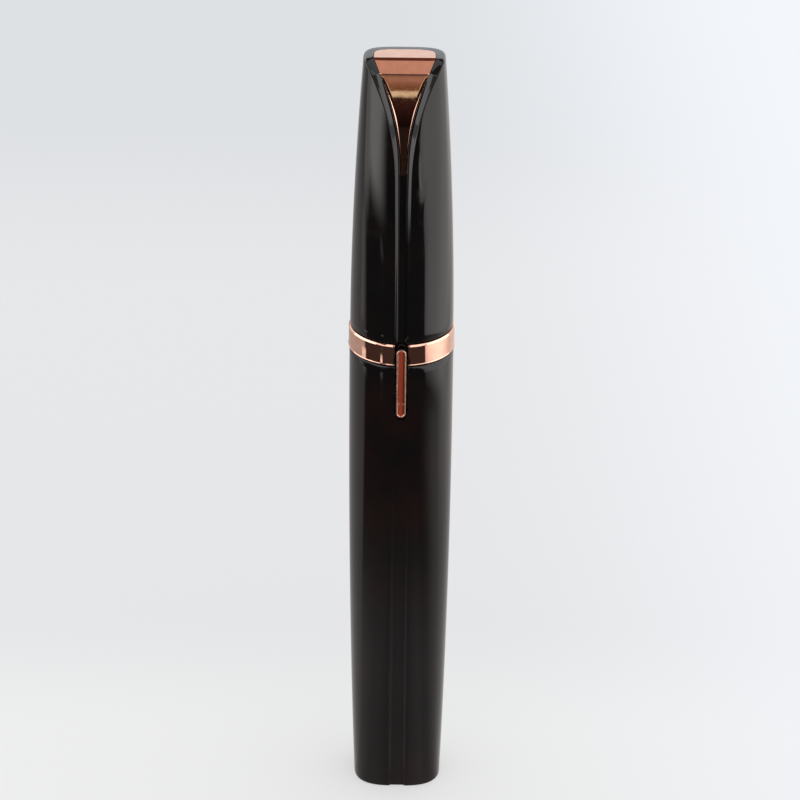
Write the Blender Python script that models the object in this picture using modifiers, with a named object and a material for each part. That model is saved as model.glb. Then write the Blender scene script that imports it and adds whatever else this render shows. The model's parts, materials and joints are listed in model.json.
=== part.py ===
"""Electric eyebrow trimmer, a battery pen with a spinning cutter under a pull-off cap.

The pen stands on its base. The base's centre is the origin, the pen runs up +Z and its switch faces -Y.
The barrel is a sleeve. The core carries the battery, motor, switch and head, and lifts out of the barrel.
"""

import math

import bmesh
import bpy

# Gaps, cutter overruns, and how near two points lie to be merged
SEAT_GAP = 0.0003
RUNNING_GAP = 0.0003
OVERRUN = 0.002
MERGE_DISTANCE = 0.00001

# Battery, a common AAA cell
CELL_RADIUS = 0.00515
CELL_LENGTH = 0.0435
CELL_CHAMFER = 0.0004
NUB_RADIUS = 0.0019
NUB_HEIGHT = 0.0010
CONTACT_THICKNESS = 0.0003
CONTACT_HALF_WIDTH = 0.0012
CONTACT_BACK = 0.0036
STRIP_STAND_OFF = 0.0004
STRIP_THICKNESS = 0.0002
STRIP_TAB = 0.0026
SPRING_HEIGHT = 0.0050
SPRING_FOOT_RADIUS = 0.0036
SPRING_TOP_RADIUS = 0.0018
SPRING_WIRE_RADIUS = 0.00025
SPRING_TURNS = 4
SPRING_POINTS_PER_TURN = 10

# Motor
MOTOR_RADIUS = 0.0050
MOTOR_LENGTH = 0.0120
MOTOR_CHAMFER = 0.0004
END_CAP_STEP = 0.0006
END_CAP_HEIGHT = 0.0013
TERMINAL_WIDTH = 0.0014
TERMINAL_THICKNESS = 0.0004
TERMINAL_LENGTH = 0.0012
TERMINAL_SPREAD = 0.0025
BOSS_RADIUS = 0.0016
BOSS_HEIGHT = 0.0009
MOTOR_PLATE_THICKNESS = 0.0010
SCREW_HEAD_RADIUS = 0.0009
SCREW_HEAD_HEIGHT = 0.0006
SCREW_SLOT_WIDTH = 0.0003
SCREW_INSET = 0.0016
LEAD_RADIUS = 0.0003
LEAD_CHANNEL = 0.0010
LEAD_ANGLE = math.radians(38)

# Chassis
CHASSIS_LIFT = 0.0010
CHASSIS_WALL = 0.0010
BAY_GAP = 0.0003
TRAY_WALL = 0.00045
CLAMP_WALL = 0.00105

# Switch and board
BAR_LENGTH = 0.01255
BAR_HALF_WIDTH = 0.00085
BAR_PROUD = 0.00035
BAR_THICKNESS = 0.00070
BAR_DISH = 0.00020
BAR_RIM = 0.00022
BAR_TOP_GAP = 0.00061
SLOT_FOOT_GAP = 0.00084
SLOT_SIDE_GAP = 0.0003
STEM_HALF_WIDTH = 0.00045
STEM_HEIGHT = 0.0026
SWITCH_TRAVEL = 0.0010
TRACK_THICKNESS = 0.0006
TRACK_HALF_WIDTH = 0.0020
CARRIAGE_THICKNESS = 0.0006
CARRIAGE_HALF_WIDTH = 0.0016
CARRIAGE_HEIGHT = 0.0040
SWITCH_CASE_HALF_WIDTH = 0.0020
SWITCH_CASE_HEIGHT = 0.0052
SWITCH_CASE_THICKNESS = 0.0013
BOARD_HALF_WIDTH = 0.0045
BOARD_HEIGHT = 0.0088
BOARD_THICKNESS = 0.0006
CHIP_SIZE = 0.0015
CHIP_THICKNESS = 0.0007
COIL_RADIUS = 0.0009
COIL_HEIGHT = 0.0012

# Barrel
BARREL_FLOOR = 0.0020
BARREL_FOOT_WALL = 0.00065
BARREL_TOP_WALL = 0.00138
BASE_DEPTH_SHARE = 0.92
BASE_SQUARENESS = 2.9
ROUND = 2.0
BARREL_TAPER_POWER = 2.4
BASE_CHAMFER = 0.0003
BARREL_FLUTE_HALF_WIDTH = 0.00150
BARREL_FLUTE_FLOOR_HALF_WIDTH = 0.00100
BARREL_FLUTE_DEPTH = 0.00030

# Band
BAND_HEIGHT = 0.0036
BAND_PROUD = 0.00020
BAND_WALL = 0.00100
BAND_CHAMFER = 0.00025

# Neck
NECK_HEIGHT = 0.0078
NECK_WALL = 0.00135
SEAL_RADIUS = 0.00036
SEAL_STAND_OUT = 0.00012
SEAL_HEIGHT_SHARE = 0.30
LAMP_HEIGHT_SHARE = 0.60
LENS_RADIUS = 0.0009
LENS_SET_IN = 0.0001
LAMP_RADIUS = 0.00075
LAMP_LENGTH = 0.0014
LAMP_DOME = 0.0005
LAMP_LEAD_RADIUS = 0.0002
LAMP_LEAD_SPREAD = 0.00045

# Drive
SHAFT_RADIUS = 0.0006
COUPLING_WALL = 0.0007
COUPLING_WEB = 0.0006
COUPLING_SHAFT_DEPTH = 0.0016
SPINDLE_RADIUS = 0.0009
SPINDLE_ENGAGEMENT = 0.0035

# Head and cutter
HEAD_HEIGHT = 0.0182
HEAD_TOP_RADIUS = 0.0035
HEAD_WAIST_SHARE = 0.46
HEAD_WALL = 0.0009
HEAD_PULL = 0.0080
SPIGOT_DEPTH = 0.0018
SPIGOT_WALL = 0.0008
BUSH_HEIGHT = 0.0016
BUSH_WALL = 0.0007
BUSH_LEVEL_SHARE = 0.72
GUARD_RADIUS = 0.0031
GUARD_HEIGHT = 0.0032
GUARD_WALL = 0.00032
GUARD_RIM_WIDTH = 0.0003
GUARD_RIM_HEIGHT = 0.0007
GUARD_SLOTS = 10
GUARD_SLOT_WIDTH = 0.00042
GUARD_SLOT_INNER = 0.0009
GUARD_SLOT_MARGIN = 0.0007
BLADE_ARMS = 4
BLADE_THICKNESS = 0.0004
BLADE_ARM_HALF_WIDTH = 0.00035
BLADE_HUB_RADIUS = 0.0010
BLADE_HUB_HEIGHT = 0.0009

# Cap
CAP_STEP_IN = 0.00009
CAP_TAPER = 0.00193
CAP_CROWN = 0.0097
CAP_TOP_DEPTH_SHARE = 0.80
CAP_TOP_SQUARENESS = 3.4
CAP_TAPER_POWER = 1.8
CAP_TOP_FILLET = 0.0006
CAP_WALL = 0.00105
CAP_HEAD_GAP = 0.0005
FOLD_SETBACK = 0.0020
TOP_SLOPE_ANGLE = math.radians(6.4)
CAP_FLUTE_HALF_WIDTH = 0.00120
CAP_FLUTE_FLOOR_HALF_WIDTH = 0.00055
CAP_FLUTE_DEPTH = 0.00060
LINER_HEIGHT = 0.0065
LINER_WALL = 0.00035

# Inlay on the cap's front, and the lapels beside it
INLAY_THICKNESS = 0.0005
INLAY_LENGTH = 0.0188
INLAY_TIP_DEPTH = 0.00083
INLAY_BEND_HEIGHT_SHARE = 0.50
INLAY_BEND_SETBACK_SHARE = 0.694
INLAY_BEVEL_HEIGHT = 0.0019
INLAY_BEVEL_DEPTH = 0.0019
INLAY_SIDE_RIM = 0.0017
INLAY_BACK_RIM = 0.0010
INLAY_LEAST_BACK_SHARE = 0.35
LAPEL_BELOW_TIP = 0.0022
LAPEL_TOP_WIDTH = 0.00145
LAPEL_REACH_SHARE = 0.985
V_POWER = 2.1

# The two sides that paired pieces lie on
SIDES = ((-1, "left"), (1, "right"))

# Facets
SHELL_SEGMENTS = 56
BORE_SEGMENTS = 48
ROUND_SEGMENTS = 32
SMALL_SEGMENTS = 16
HEXAGON_SIDES = 6

# Heights up the core's stack
CHASSIS_FOOT = BARREL_FLOOR + CHASSIS_LIFT
CELL_FOOT = CHASSIS_FOOT + CHASSIS_WALL + 2 * SEAT_GAP + CONTACT_THICKNESS + SPRING_HEIGHT + SEAT_GAP
CELL_TOP = CELL_FOOT + CELL_LENGTH
NUB_TOP = CELL_TOP + NUB_HEIGHT
DIVIDER_FOOT = NUB_TOP + 2 * SEAT_GAP + CONTACT_THICKNESS
DIVIDER_TOP = DIVIDER_FOOT + CHASSIS_WALL
MOTOR_FOOT = DIVIDER_TOP + TERMINAL_LENGTH + END_CAP_HEIGHT + 3 * SEAT_GAP
MOTOR_TOP = MOTOR_FOOT + MOTOR_LENGTH
MOTOR_PLATE_FOOT = MOTOR_TOP + SEAT_GAP
MOTOR_PLATE_TOP = MOTOR_PLATE_FOOT + MOTOR_PLATE_THICKNESS
BOARD_FOOT = MOTOR_PLATE_TOP + SEAT_GAP
BOARD_TOP = BOARD_FOOT + BOARD_HEIGHT
BARREL_HEIGHT = BOARD_TOP
BAND_FOOT = BARREL_HEIGHT + SEAT_GAP
BAND_TOP = BAND_FOOT + BAND_HEIGHT
NECK_TOP = BAND_TOP + NECK_HEIGHT
LAMP_HEIGHT = BAND_TOP + NECK_HEIGHT * LAMP_HEIGHT_SHARE
SHAFT_FOOT = MOTOR_TOP + BOSS_HEIGHT + SEAT_GAP
COUPLING_FOOT = MOTOR_PLATE_TOP + SCREW_HEAD_HEIGHT + 2 * SEAT_GAP
SHAFT_TOP = COUPLING_FOOT + COUPLING_SHAFT_DEPTH
SOCKET_FOOT = SHAFT_TOP + SEAT_GAP + COUPLING_WEB
SPINDLE_FOOT = SOCKET_FOOT + SEAT_GAP
COUPLING_TOP = SPINDLE_FOOT + SPINDLE_ENGAGEMENT
HEAD_FOOT = NECK_TOP + SEAT_GAP
HEAD_TOP = HEAD_FOOT + HEAD_HEIGHT
GUARD_FOOT = HEAD_TOP + SEAT_GAP
GUARD_TOP = GUARD_FOOT + GUARD_RIM_HEIGHT + GUARD_HEIGHT
BLADE_TOP = GUARD_TOP - GUARD_WALL - RUNNING_GAP
BLADE_FOOT = BLADE_TOP - BLADE_THICKNESS
HUB_TOP = BLADE_FOOT - SEAT_GAP
HUB_FOOT = HUB_TOP - BLADE_HUB_HEIGHT

# Heights of the cap, which covers the head also when the head is pulled up inside it
CAP_FOOT = BAND_TOP + SEAT_GAP
CAP_BORE_TOP = GUARD_TOP + HEAD_PULL + CAP_HEAD_GAP
PEN_HEIGHT = CAP_BORE_TOP + CAP_CROWN
INLAY_TIP_HEIGHT = PEN_HEIGHT - INLAY_LENGTH
LAPEL_FOOT_HEIGHT = INLAY_TIP_HEIGHT - LAPEL_BELOW_TIP

# Radii and half widths, from the battery and motor out
MOTOR_BAY_RADIUS = MOTOR_RADIUS + LEAD_CHANNEL
LEAD_RING_RADIUS = (MOTOR_RADIUS + MOTOR_BAY_RADIUS) / 2
LEAD_SIDE = LEAD_RING_RADIUS * math.sin(LEAD_ANGLE)
LEAD_FRONT = LEAD_RING_RADIUS * math.cos(LEAD_ANGLE)
END_CAP_RADIUS = MOTOR_RADIUS - END_CAP_STEP
SCREW_SPREAD = MOTOR_RADIUS - SCREW_INSET
STRIP_SETBACK = CELL_RADIUS + STRIP_STAND_OFF
BORE_FOOT_RADIUS = CELL_RADIUS + BAY_GAP + TRAY_WALL + SEAT_GAP
BORE_TOP_RADIUS = MOTOR_BAY_RADIUS + CLAMP_WALL + SEAT_GAP
BASE_HALF_DEPTH = BORE_FOOT_RADIUS + BARREL_FOOT_WALL
BASE_HALF_WIDTH = BASE_HALF_DEPTH / BASE_DEPTH_SHARE
BARREL_TOP_HALF_WIDTH = BORE_TOP_RADIUS + BARREL_TOP_WALL
BAND_RADIUS = BARREL_TOP_HALF_WIDTH + BAND_PROUD
FLANGE_RADIUS = BAND_RADIUS - BAND_WALL - SEAT_GAP
CAP_FOOT_HALF_WIDTH = BARREL_TOP_HALF_WIDTH - CAP_STEP_IN
CAP_TOP_HALF_WIDTH = CAP_FOOT_HALF_WIDTH - CAP_TAPER
INLAY_HALF_WIDTH = CAP_TOP_HALF_WIDTH - INLAY_SIDE_RIM
CAP_BORE_RADIUS = CAP_FOOT_HALF_WIDTH - CAP_WALL
LINER_RADIUS = CAP_BORE_RADIUS - SEAT_GAP
NECK_RADIUS = LINER_RADIUS - LINER_WALL - RUNNING_GAP
NECK_BORE_RADIUS = NECK_RADIUS - NECK_WALL
COUPLING_RADIUS = SPINDLE_RADIUS + 2 * RUNNING_GAP + COUPLING_WALL
GUARD_RIM_RADIUS = GUARD_RADIUS + GUARD_RIM_WIDTH

# The switch, measured down from the band's top
BAR_FOOT = BAND_TOP - BAR_TOP_GAP - BAR_LENGTH
BAR_MIDDLE = BAR_FOOT + BAR_LENGTH / 2
BAR_FRONT = BARREL_TOP_HALF_WIDTH + BAR_PROUD
BAR_BACK = BAR_FRONT - BAR_THICKNESS
SWITCH_SLOT_FOOT = BAR_FOOT - SLOT_FOOT_GAP
SWITCH_SLOT_HALF_WIDTH = BAR_HALF_WIDTH + SLOT_SIDE_GAP


def bore_radius(height):
    """The barrel's bore at a height."""
    share = (height - BARREL_FLOOR) / (BARREL_HEIGHT - BARREL_FLOOR)
    return BORE_FOOT_RADIUS + (BORE_TOP_RADIUS - BORE_FOOT_RADIUS) * share


# Layers behind the switch, measured forward from the pen's axis
TRACK_FRONT = math.sqrt((bore_radius(BOARD_FOOT) - SEAT_GAP) ** 2 - TRACK_HALF_WIDTH ** 2)
TRACK_BACK = TRACK_FRONT - TRACK_THICKNESS
CARRIAGE_FRONT = TRACK_BACK - SEAT_GAP
CARRIAGE_BACK = CARRIAGE_FRONT - CARRIAGE_THICKNESS
SWITCH_CASE_FRONT = CARRIAGE_BACK - SEAT_GAP
SWITCH_CASE_BACK = SWITCH_CASE_FRONT - SWITCH_CASE_THICKNESS
BOARD_FRONT = SWITCH_CASE_BACK - SEAT_GAP
BOARD_BACK = BOARD_FRONT - BOARD_THICKNESS


def start_scene():
    """Empty the scene and make one collection for the pen and one for its cutters."""
    for item in list(bpy.data.objects):
        bpy.data.objects.remove(item, do_unlink=True)
    collections = {}
    for name in ("electric_eyebrow_trimmer", "cutters"):
        collection = bpy.data.collections.get(name) or bpy.data.collections.new(name)
        if name not in bpy.context.scene.collection.children:
            bpy.context.scene.collection.children.link(collection)
        collections[name] = collection
    return collections["electric_eyebrow_trimmer"], collections["cutters"]


PARTS, CUTTERS = start_scene()


def finish(name, colour, roughness, metallic=0.0):
    """A plain Principled material for one kind of surface."""
    material = bpy.data.materials.new(name)
    material.use_nodes = True
    shader = material.node_tree.nodes["Principled BSDF"]
    shader.inputs["Base Color"].default_value = (*colour, 1.0)
    shader.inputs["Roughness"].default_value = roughness
    shader.inputs["Metallic"].default_value = metallic
    return material


GLOSS_BLACK = finish("gloss_black", (0.012, 0.012, 0.013), 0.10)
MATT_BLACK = finish("matt_black", (0.020, 0.020, 0.022), 0.45)
ROSE_GOLD = finish("rose_gold", (0.83, 0.47, 0.36), 0.16, 1.0)
SOFT_GOLD = finish("soft_gold", (0.86, 0.66, 0.34), 0.22, 1.0)
STEEL = finish("steel", (0.62, 0.63, 0.65), 0.30, 1.0)
NICKEL = finish("nickel", (0.72, 0.70, 0.66), 0.25, 1.0)
CREAM_PLASTIC = finish("cream_plastic", (0.80, 0.77, 0.68), 0.50)
WHITE_PLASTIC = finish("white_plastic", (0.85, 0.85, 0.83), 0.40)
CELL_JACKET = finish("cell_jacket", (0.05, 0.16, 0.30), 0.30)
BOARD_GREEN = finish("board_green", (0.03, 0.22, 0.10), 0.40)
COPPER = finish("copper", (0.72, 0.38, 0.22), 0.35, 1.0)
SEAL_RUBBER = finish("seal_rubber", (0.03, 0.03, 0.03), 0.60)
RED_LEAD = finish("red_lead", (0.55, 0.03, 0.03), 0.45)
CLEAR_LENS = finish("clear_lens", (0.90, 0.92, 0.94), 0.05)


def place(name, mesh, material, smooth_angle=0.6):
    """Put a mesh in the scene as a named sub-part, shaded smooth between its hard edges."""
    item = bpy.data.objects.new(name, mesh)
    mesh.shade_smooth()
    mesh.set_sharp_from_angle(angle=smooth_angle)
    mesh.materials.append(material)
    PARTS.objects.link(item)
    return item


def hide_as_cutter(item):
    """Keep an object as a cutter or guide, out of the finished pen."""
    for collection in list(item.users_collection):
        collection.objects.unlink(item)
    CUTTERS.objects.link(item)
    item.display_type = "WIRE"
    item.hide_render = True
    return item


def cutter_from(name, mesh):
    """A mesh that only cuts."""
    return hide_as_cutter(place(name, mesh, MATT_BLACK))


def cut(item, *cutters):
    """Take each cutter out of an object."""
    for cutter in cutters:
        boolean = item.modifiers.new("cut_" + cutter.name, "BOOLEAN")
        boolean.operation = "DIFFERENCE"
        boolean.solver = "EXACT"
        boolean.object = cutter
    return item


def mesh_from(build, name):
    """Make a mesh from what the given function adds to a new bmesh."""
    work = bmesh.new()
    build(work)
    mesh = bpy.data.meshes.new(name)
    work.to_mesh(mesh)
    work.free()
    return mesh


def box_mesh(name, low, high):
    """A box between two corners."""
    def build(work):
        bmesh.ops.create_cube(work, size=1.0)
        for vertex in work.verts:
            for axis in range(3):
                middle = (low[axis] + high[axis]) / 2
                vertex.co[axis] = middle + vertex.co[axis] * (high[axis] - low[axis])
    return mesh_from(build, name)


def rod_mesh(name, radius, low, high, segments=ROUND_SEGMENTS, centre=(0.0, 0.0), top_radius=None):
    """An upright rod or cone between two heights."""
    def build(work):
        bmesh.ops.create_cone(
            work, cap_ends=True, segments=segments, radius1=radius,
            radius2=radius if top_radius is None else top_radius, depth=high - low)
        bmesh.ops.translate(work, verts=work.verts, vec=(centre[0], centre[1], (low + high) / 2))
    return mesh_from(build, name)


def forward_rod_mesh(name, radius, front, back, height, segments=SMALL_SEGMENTS):
    """A rod along Y, between two distances in front of the axis."""
    mesh = rod_mesh(name, radius, back, front, segments)
    for vertex in mesh.vertices:
        x, y, z = vertex.co
        vertex.co = (x, -z, height + y)
    return mesh


def loft_mesh(name, rings):
    """A closed skin over rings of equally many points, listed from the foot up."""
    def build(work):
        rows = [[work.verts.new(point) for point in ring] for ring in rings]
        count = len(rows[0])
        for lower, upper in zip(rows, rows[1:]):
            for step in range(count):
                follower = (step + 1) % count
                work.faces.new((lower[step], lower[follower], upper[follower], upper[step]))
        work.faces.new(list(reversed(rows[0])))
        work.faces.new(rows[-1])
    return mesh_from(build, name)


def turned(name, profile, material, segments=ROUND_SEGMENTS, closed=True):
    """Spin a profile of (radius, height) pairs, listed down the outer side and up the inner one."""
    mesh = bpy.data.meshes.new(name)
    edges = [(index, index + 1) for index in range(len(profile) - 1)]
    if closed:
        edges.append((len(profile) - 1, 0))
    mesh.from_pydata([(radius, 0.0, height) for radius, height in profile], edges, [])
    item = place(name, mesh, material)
    screw = item.modifiers.new("turn", "SCREW")
    screw.steps = segments
    screw.render_steps = segments
    screw.use_merge_vertices = True
    screw.merge_threshold = MERGE_DISTANCE
    screw.use_smooth_shade = True
    return item


def wire(name, points, radius, material, resolution=1, smooth=False):
    """A round wire through the given points."""
    curve = bpy.data.curves.new(name, "CURVE")
    curve.dimensions = "3D"
    curve.bevel_depth = radius
    curve.bevel_resolution = resolution
    curve.use_fill_caps = True
    spline = curve.splines.new("POLY")
    spline.points.add(len(points) - 1)
    for point, place_at in zip(spline.points, points):
        point.co = (*place_at, 1.0)
    spline.use_smooth = smooth
    curve.materials.append(material)
    item = bpy.data.objects.new(name, curve)
    PARTS.objects.link(item)
    return item


def plate_mesh(name, outline, thickness):
    """A flat plate in the XY plane, centred on it, from a closed outline."""
    curve = bpy.data.curves.new(name + "_outline", "CURVE")
    curve.dimensions = "2D"
    curve.fill_mode = "BOTH"
    curve.extrude = thickness / 2
    spline = curve.splines.new("POLY")
    spline.points.add(len(outline) - 1)
    for point, (x, y) in zip(spline.points, outline):
        point.co = (x, y, 0.0, 1.0)
    spline.use_cyclic_u = True
    guide = bpy.data.objects.new(name + "_outline", curve)
    PARTS.objects.link(guide)
    graph = bpy.context.evaluated_depsgraph_get()
    mesh = bpy.data.meshes.new_from_object(guide.evaluated_get(graph))
    bpy.data.objects.remove(guide, do_unlink=True)
    work = bmesh.new()
    work.from_mesh(mesh)
    bmesh.ops.remove_doubles(work, verts=work.verts, dist=MERGE_DISTANCE)
    work.to_mesh(mesh)
    work.free()
    mesh.name = name
    return mesh


def stand_up(mesh, front, back, middle_height):
    """Turn a flat plate upright, its outline's Y along Z, between two distances in front of the axis."""
    for vertex in mesh.vertices:
        x, y, z = vertex.co
        vertex.co = (x, -(front + back) / 2 - z, middle_height + y)
    return mesh


def capsule_outline(half_width, length, steps=8):
    """A slot shape with round ends, centred, its length along Y."""
    straight = length / 2 - half_width
    points = []
    for side in (1, -1):
        for step in range(steps + 1):
            angle = math.pi * step / steps
            x = side * half_width * math.cos(angle)
            y = side * (straight + half_width * math.sin(angle))
            points.append((x, y))
    return points


def section_ring(half_width, half_depth, squareness, height, count=SHELL_SEGMENTS):
    """One cross-section of the pen, from a circle at squareness 2 towards a rounded square above it."""
    points = []
    for step in range(count):
        angle = 2 * math.pi * step / count
        across = math.cos(angle)
        along = math.sin(angle)
        x = half_width * math.copysign(abs(across) ** (2 / squareness), across)
        y = half_depth * math.copysign(abs(along) ** (2 / squareness), along)
        points.append((x, y, height))
    return points


def barrel_section(height):
    """The barrel's half width, half depth and squareness at a height."""
    down = max(0.0, 1 - height / BARREL_HEIGHT)
    narrowing = (BARREL_TOP_HALF_WIDTH - BASE_HALF_WIDTH) * down ** BARREL_TAPER_POWER
    half_width = BARREL_TOP_HALF_WIDTH - narrowing
    half_depth = half_width * (1 - (1 - BASE_DEPTH_SHARE) * down ** 2)
    squareness = ROUND + (BASE_SQUARENESS - ROUND) * down ** 2
    return half_width, half_depth, squareness


def cap_section(height):
    """The cap's half width, half depth and squareness at a height."""
    up = max(0.0, height - CAP_FOOT) / (PEN_HEIGHT - CAP_FOOT)
    half_width = CAP_FOOT_HALF_WIDTH - CAP_TAPER * up ** CAP_TAPER_POWER
    half_depth = half_width * (1 - (1 - CAP_TOP_DEPTH_SHARE) * up ** 2)
    squareness = ROUND + (CAP_TOP_SQUARENESS - ROUND) * up ** 2
    return half_width, half_depth, squareness


def front_of(section, x):
    """How far in front of the axis a section's skin lies, at a distance x to one side."""
    half_width, half_depth, squareness = section
    return half_depth * max(0.0, 1 - min(1.0, abs(x) / half_width) ** squareness) ** (1 / squareness)


def groove_mesh(name, stations):
    """A cutter with sloping sides along the pen's front.

    Each station is (height, half width and distance forward at the skin, the same two at the floor,
    distance forward of the cutter's own front).
    """
    rings = []
    for height, skin_half, skin_front, floor_half, floor_front, cutter_front in stations:
        reach = (cutter_front - floor_front) / (skin_front - floor_front)
        outer_half = floor_half + (skin_half - floor_half) * reach
        outer = -cutter_front
        rings.append([
            (-outer_half, outer, height), (outer_half, outer, height),
            (floor_half, -floor_front, height), (-floor_half, -floor_front, height)])
    return loft_mesh(name, rings)


def make_barrel():
    """The sleeve that is the pen's lower half: fluted outside, bored inside, slotted for the switch."""
    foot = (BASE_HALF_WIDTH - BASE_CHAMFER, BASE_HALF_DEPTH - BASE_CHAMFER, BASE_SQUARENESS)
    rings = [section_ring(*foot, 0.0)]
    stations = 13
    for step in range(stations + 1):
        height = BASE_CHAMFER + (BARREL_HEIGHT - BASE_CHAMFER) * step / stations
        rings.append(section_ring(*barrel_section(height), height))
    barrel = place("barrel_shell", loft_mesh("barrel_shell", rings), GLOSS_BLACK)
    bore = cutter_from("barrel_bore", rod_mesh(
        "barrel_bore", BORE_FOOT_RADIUS, BARREL_FLOOR, BARREL_HEIGHT + OVERRUN, BORE_SEGMENTS,
        top_radius=bore_radius(BARREL_HEIGHT + OVERRUN)))
    stations = 8
    flute_foot = -OVERRUN
    flute_top = BARREL_HEIGHT + OVERRUN
    cuts = []
    for step in range(stations + 1):
        height = flute_foot + (flute_top - flute_foot) * step / stations
        section = barrel_section(min(max(height, 0.0), BARREL_HEIGHT))
        front = front_of(section, 0.0)
        cuts.append((height, BARREL_FLUTE_HALF_WIDTH, front_of(section, BARREL_FLUTE_HALF_WIDTH),
                     BARREL_FLUTE_FLOOR_HALF_WIDTH, front - BARREL_FLUTE_DEPTH, front + OVERRUN))
    flute = cutter_from("barrel_flute", groove_mesh("barrel_flute", cuts))
    cut(barrel, bore, flute, slot_cutter("barrel_slot", bore_radius(BARREL_HEIGHT) / 2))
    return barrel


def slot_cutter(name, back):
    """The round-footed slot that the switch slides in, open above."""
    length = 2 * (BAND_TOP + OVERRUN - SWITCH_SLOT_FOOT)
    mesh = plate_mesh(name, capsule_outline(SWITCH_SLOT_HALF_WIDTH, length), BAND_RADIUS + OVERRUN - back)
    return cutter_from(name, stand_up(mesh, BAND_RADIUS + OVERRUN, back, SWITCH_SLOT_FOOT + length / 2))


def make_band():
    """The rose gold band between the barrel and the cap, notched for the switch."""
    inner = BAND_RADIUS - BAND_WALL
    band = turned("collar_band", [
        (BAND_RADIUS - BAND_CHAMFER, BAND_TOP), (BAND_RADIUS, BAND_TOP - BAND_CHAMFER),
        (BAND_RADIUS, BAND_FOOT + BAND_CHAMFER), (BAND_RADIUS - BAND_CHAMFER, BAND_FOOT),
        (inner, BAND_FOOT), (inner, BAND_TOP)], ROSE_GOLD, SHELL_SEGMENTS)
    cut(band, slot_cutter("band_slot", bore_radius(BARREL_HEIGHT) / 2))
    return band


def top_height(y):
    """The height of the cap's sloping top at a place along Y."""
    return PEN_HEIGHT - (y + FOLD_SETBACK) * math.tan(TOP_SLOPE_ANGLE)


def inlay_profile(steps=7):
    """The inlay's side view from its tip up to the fold, as (setback from the axis, height) pairs."""
    tip_setback = front_of(cap_section(INLAY_TIP_HEIGHT), 0.0) - INLAY_TIP_DEPTH
    bevel_setback = FOLD_SETBACK + INLAY_BEVEL_DEPTH
    bevel_height = PEN_HEIGHT - INLAY_BEVEL_HEIGHT
    bend_setback = bevel_setback + (tip_setback - bevel_setback) * INLAY_BEND_SETBACK_SHARE
    bend_height = bevel_height + (INLAY_TIP_HEIGHT - bevel_height) * INLAY_BEND_HEIGHT_SHARE
    points = []
    for step in range(steps + 1):
        share = step / steps
        near = (1 - share) ** 2
        middle = 2 * share * (1 - share)
        far = share ** 2
        points.append((near * tip_setback + middle * bend_setback + far * bevel_setback,
                       near * INLAY_TIP_HEIGHT + middle * bend_height + far * bevel_height))
    points.append((FOLD_SETBACK, PEN_HEIGHT))
    return points


def inlay_setback(height):
    """How far in front of the axis the inlay's face lies at a height, carried on past both its ends."""
    points = inlay_profile()
    pairs = list(zip(points, points[1:]))
    for (low_setback, low), (high_setback, high) in pairs:
        if height <= high or (high_setback, high) == points[-1]:
            return low_setback + (high_setback - low_setback) * (height - low) / (high - low)
    return FOLD_SETBACK


def inlay_half_width(height):
    """Half the inlay's width at a height, from nothing at its tip, in curves that open upwards."""
    share = max(0.0, (height - INLAY_TIP_HEIGHT) / INLAY_LENGTH)
    spread = INLAY_HALF_WIDTH - CAP_FLUTE_FLOOR_HALF_WIDTH
    return CAP_FLUTE_FLOOR_HALF_WIDTH + spread * share ** V_POWER


def lapel_half_width(height):
    """Half the width between the creases where the cap's skin turns in towards the inlay."""
    share = max(0.0, (height - LAPEL_FOOT_HEIGHT) / (PEN_HEIGHT - LAPEL_FOOT_HEIGHT))
    top = INLAY_HALF_WIDTH + LAPEL_TOP_WIDTH
    return CAP_FLUTE_HALF_WIDTH + (top - CAP_FLUTE_HALF_WIDTH) * share ** V_POWER


def cap_groove_stations():
    """The cut down the cap's front: the V with its lapels, and the flute that runs on below it."""
    stations = []
    flute_steps = 6
    for step in range(flute_steps + 1):
        height = CAP_FOOT - OVERRUN + (LAPEL_FOOT_HEIGHT - CAP_FOOT + OVERRUN) * step / flute_steps
        section = cap_section(max(height, CAP_FOOT))
        depth = CAP_FLUTE_DEPTH + (INLAY_TIP_DEPTH - CAP_FLUTE_DEPTH) * (step / flute_steps) ** 3
        front = front_of(section, 0.0)
        stations.append((height, CAP_FLUTE_HALF_WIDTH, front_of(section, CAP_FLUTE_HALF_WIDTH),
                         CAP_FLUTE_FLOOR_HALF_WIDTH, front - depth, front + OVERRUN))
    heights = [height for setback, height in inlay_profile()] + [PEN_HEIGHT + OVERRUN]
    for height in heights:
        skin_half = lapel_half_width(height)
        section = cap_section(min(height, PEN_HEIGHT))
        skin_half = min(skin_half, section[0] * LAPEL_REACH_SHARE)
        floor = inlay_setback(height)
        skin = max(front_of(section, skin_half), floor + SEAT_GAP)
        front = front_of(section, 0.0)
        stations.append((height, skin_half, skin, inlay_half_width(height), floor, front + OVERRUN))
    return stations


def inlay_rows(margin):
    """Rows of points over the inlay's face, tip to fold to back, widened by a margin."""
    rows = []
    for setback, height in inlay_profile():
        rows.append((-setback, height, inlay_half_width(height) + margin))
    half_width, half_depth, squareness = cap_section(PEN_HEIGHT)
    back = half_depth - CAP_TOP_FILLET - INLAY_BACK_RIM + margin
    steps = 6
    for step in range(1, steps + 1):
        share = math.sin(math.pi / 2 * step / steps)
        y = -FOLD_SETBACK + (back + FOLD_SETBACK) * share
        narrowing = max(0.0, 1 - max(0.0, y / back) ** squareness) ** (1 / squareness)
        half = (INLAY_HALF_WIDTH + margin) * max(narrowing, INLAY_LEAST_BACK_SHARE)
        rows.append((y, top_height(y), half))
    return rows


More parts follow.
